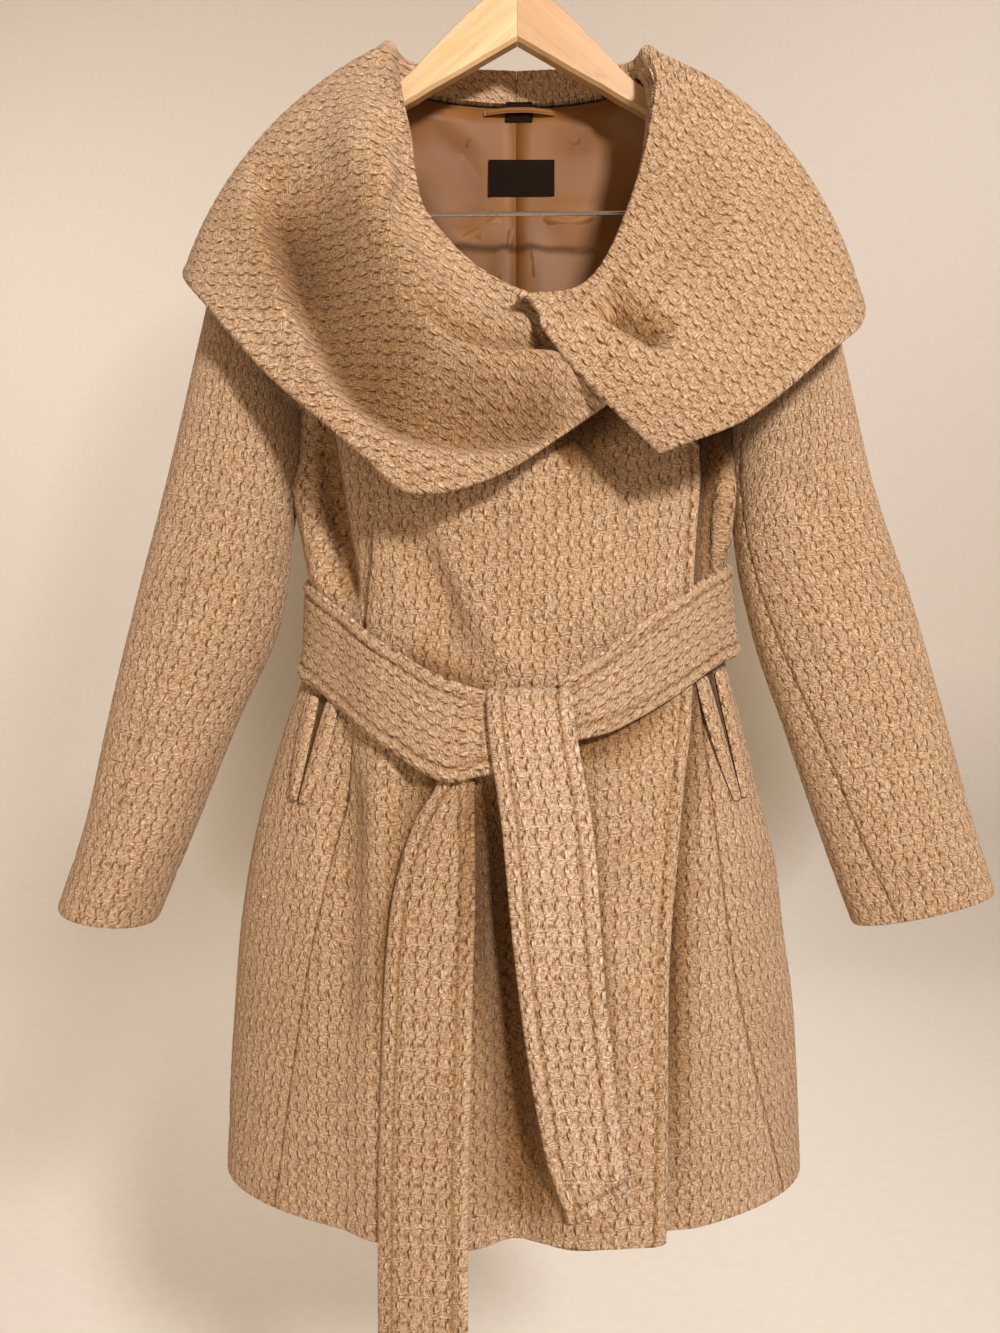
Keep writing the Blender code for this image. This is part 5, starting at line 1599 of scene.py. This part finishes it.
def build_loop():
    t = np.linspace(0, 1, fit(0.056, 0.0008))
    bow = np.sin(math.pi * t)
    x = lerp(-0.0254, 0.0296, t)
    z = -0.1575 + 0.0015 * bow
    y = within(x, z, LINING_FACE + REST + 0.0012)[:, 1] - 0.0035 * bow
    side = np.linspace(1, -1, fit(0.004, 0.0005))
    grid = np.stack([x[:, None] + 0 * side, y[:, None] - 0.0004 * (1 - side**2),
                     z[:, None] + 0.002 * side], -1)
    sew("satin_loop", "hang_loop", grid, (0, -1, 0), ("turned",) * 4, None, [], slot="satin",
        thick=0.0012, relief=0.0, material=SATIN)


build_label()
build_loop()


# %% [markdown]
# ## Hanger
#
# The hanger's solids already have their true shape, so they keep it and only get finishes.

# %% Wood and steel for the hanger
ARM_SLOPE = 0.70


def dress(node, material):
    piece = bpy.data.objects[node]
    piece.data.materials.clear()
    piece.data.materials.append(material)


# The right arm's wood is painted darker, as shade, to offset the lamp that lights that side more.
for side, arm_painted_shade in (("left", (1.0, 1.0, 1.0)), ("right", (0.75, 0.68, 0.64))):
    dress(f"hanger_arm_{side}", pale_wood(f"beech_{side}", -SIGNS[side] * ARM_SLOPE, arm_painted_shade))
steel = polished_steel()
dress("hanger_bar", steel)
dress("hanger_hook", steel)


# %% [markdown]
# ## Room, light and camera
#
# The coat hangs well before a pale warm wall. No hard shadow falls on it, so a soft darker patch
# in the plaster stands in for the shade behind the coat.

# %% Floor and wall in one sweep
FLOOR_Z = -1.45
WALL_Y = 3.2


def room_mesh():
    """A floor that bends up into a wall, with a bend of 1 m radius."""
    profile = [(-6.0, FLOOR_Z), (WALL_Y - 1, FLOOR_Z)]
    for k in range(1, 13):
        angle = 0.5 * math.pi * k / 12
        profile.append((WALL_Y - 1 + math.sin(angle), FLOOR_Z + 1 - math.cos(angle)))
    profile.append((WALL_Y, 6.0))
    points = [(x, y, z) for y, z in profile for x in (-7.0, 7.0)]
    faces = [(2 * k, 2 * k + 1, 2 * k + 3, 2 * k + 2) for k in range(len(profile) - 1)]
    mesh = bpy.data.meshes.new("plaster_room")
    mesh.from_pydata(points, [], faces)
    mesh.shade_smooth()
    return mesh


def patch(across, up):
    """1 in the middle of a round-cornered patch and 0 outside it."""
    across, up = across * across, up * up
    return clipped(1.0 - across * across - up * up, 0.0)


def warm_plaster():
    """Plaster with a painted shadow behind the coat, a paler painted shadow beside that, and painted shade
    low down at the right, where the lamps light the plaster most.
    """
    made, tree, shader = new_material("warm_plaster", {"Roughness": 0.9})
    place = object_place(tree)
    x, _, z = parts_of(tree, place)
    grains = noise(tree, place, 3.0, scale=60.0)
    colour = colour_ramp(tree, grains, (0.3, (0.84, 0.785, 0.725)), (0.7, (0.88, 0.825, 0.765)))
    # behind is a painted shadow of the coat on the wall, beyond a paler painted shadow to its left
    behind = patch(x * (1 / 1.30), (z + 0.35) * (1 / 1.10))
    beyond = patch((x - z * 0.25 + 0.40) * (1 / 1.45), (z + 0.30) * (1 / 1.30))
    beyond = clipped(beyond * 1.6, 0.0, 1.0)
    # Painted shade low down at the right, where the lamps light the plaster most.
    painted_shade_low_right = clipped(x * 0.6 + 0.3, 0.0, 1.0) * clipped(z * -1.6 - 0.9, 0.0, 1.0)
    tone = (1.0 - 0.45 * behind) * (1.0 - 0.13 * beyond) * (1.0 - 0.22 * painted_shade_low_right)
    colour = deepened(tree, shaded(tree, colour, tone), 1.0 - 0.45 * behind)
    tree.links.new(colour, shader.inputs["Base Color"])
    return made


room = bpy.data.objects.new("plaster_room", room_mesh())
room.data.materials.append(warm_plaster())
bpy.context.collection.objects.link(room)
print("floor at", FLOOR_Z, "m, wall", WALL_Y, "m behind the hanger")


# %% Lights
def area_light(name, direction, distance, size, power, colour, aim=(0.0, 0.0, -0.55)):
    lamp = bpy.data.lights.new(name, "AREA")
    lamp.shape = "DISK"
    lamp.size = size
    lamp.energy = power
    lamp.color = colour
    piece = bpy.data.objects.new(name, lamp)
    way = Vector(direction).normalized()
    piece.location = Vector(aim) + way * distance
    piece.rotation_euler = (-way).to_track_quat("-Z", "Y").to_euler()
    bpy.context.collection.objects.link(piece)


area_light("key", (0.33, -0.82, 0.46), 2.6, 0.42, 87, (1.0, 0.975, 0.965))
area_light("fill", (-0.6, -0.8, -0.20), 3.0, 2.2, 25, (1.0, 0.88, 0.68))
area_light("back_fill", (0.2, 1.0, 0.5), 2.6, 2.0, 24, (1.0, 0.95, 0.88))
area_light("wall_wash_left", (-0.6, -0.8, 0.5), 2.4, 1.6, 17, (1.0, 0.94, 0.86), (-1.0, 3.0, 0.0))
area_light("wall_wash_right", (0.6, -0.8, 0.5), 2.4, 1.6, 15, (1.0, 0.97, 1.0), (1.0, 3.0, 0.8))
world = bpy.data.worlds.new("soft_room")
bpy.context.scene.world = world
world.use_nodes = True
background = world.node_tree.nodes["Background"]
background.inputs["Color"].default_value = (1.0, 0.70, 0.42, 1.0)
background.inputs["Strength"].default_value = 0.34
bpy.context.scene.view_settings.view_transform = "Standard"


# %% Camera
camera_data = bpy.data.cameras.new("front_camera")
camera_data.lens = 27.0
camera_data.sensor_width = 36.0
camera = bpy.data.objects.new("front_camera", camera_data)
camera.location = (-0.013, -0.75, -0.588)
camera.rotation_euler = (math.pi / 2, 0.0, 0.0)
bpy.context.collection.objects.link(camera)
bpy.context.scene.camera = camera
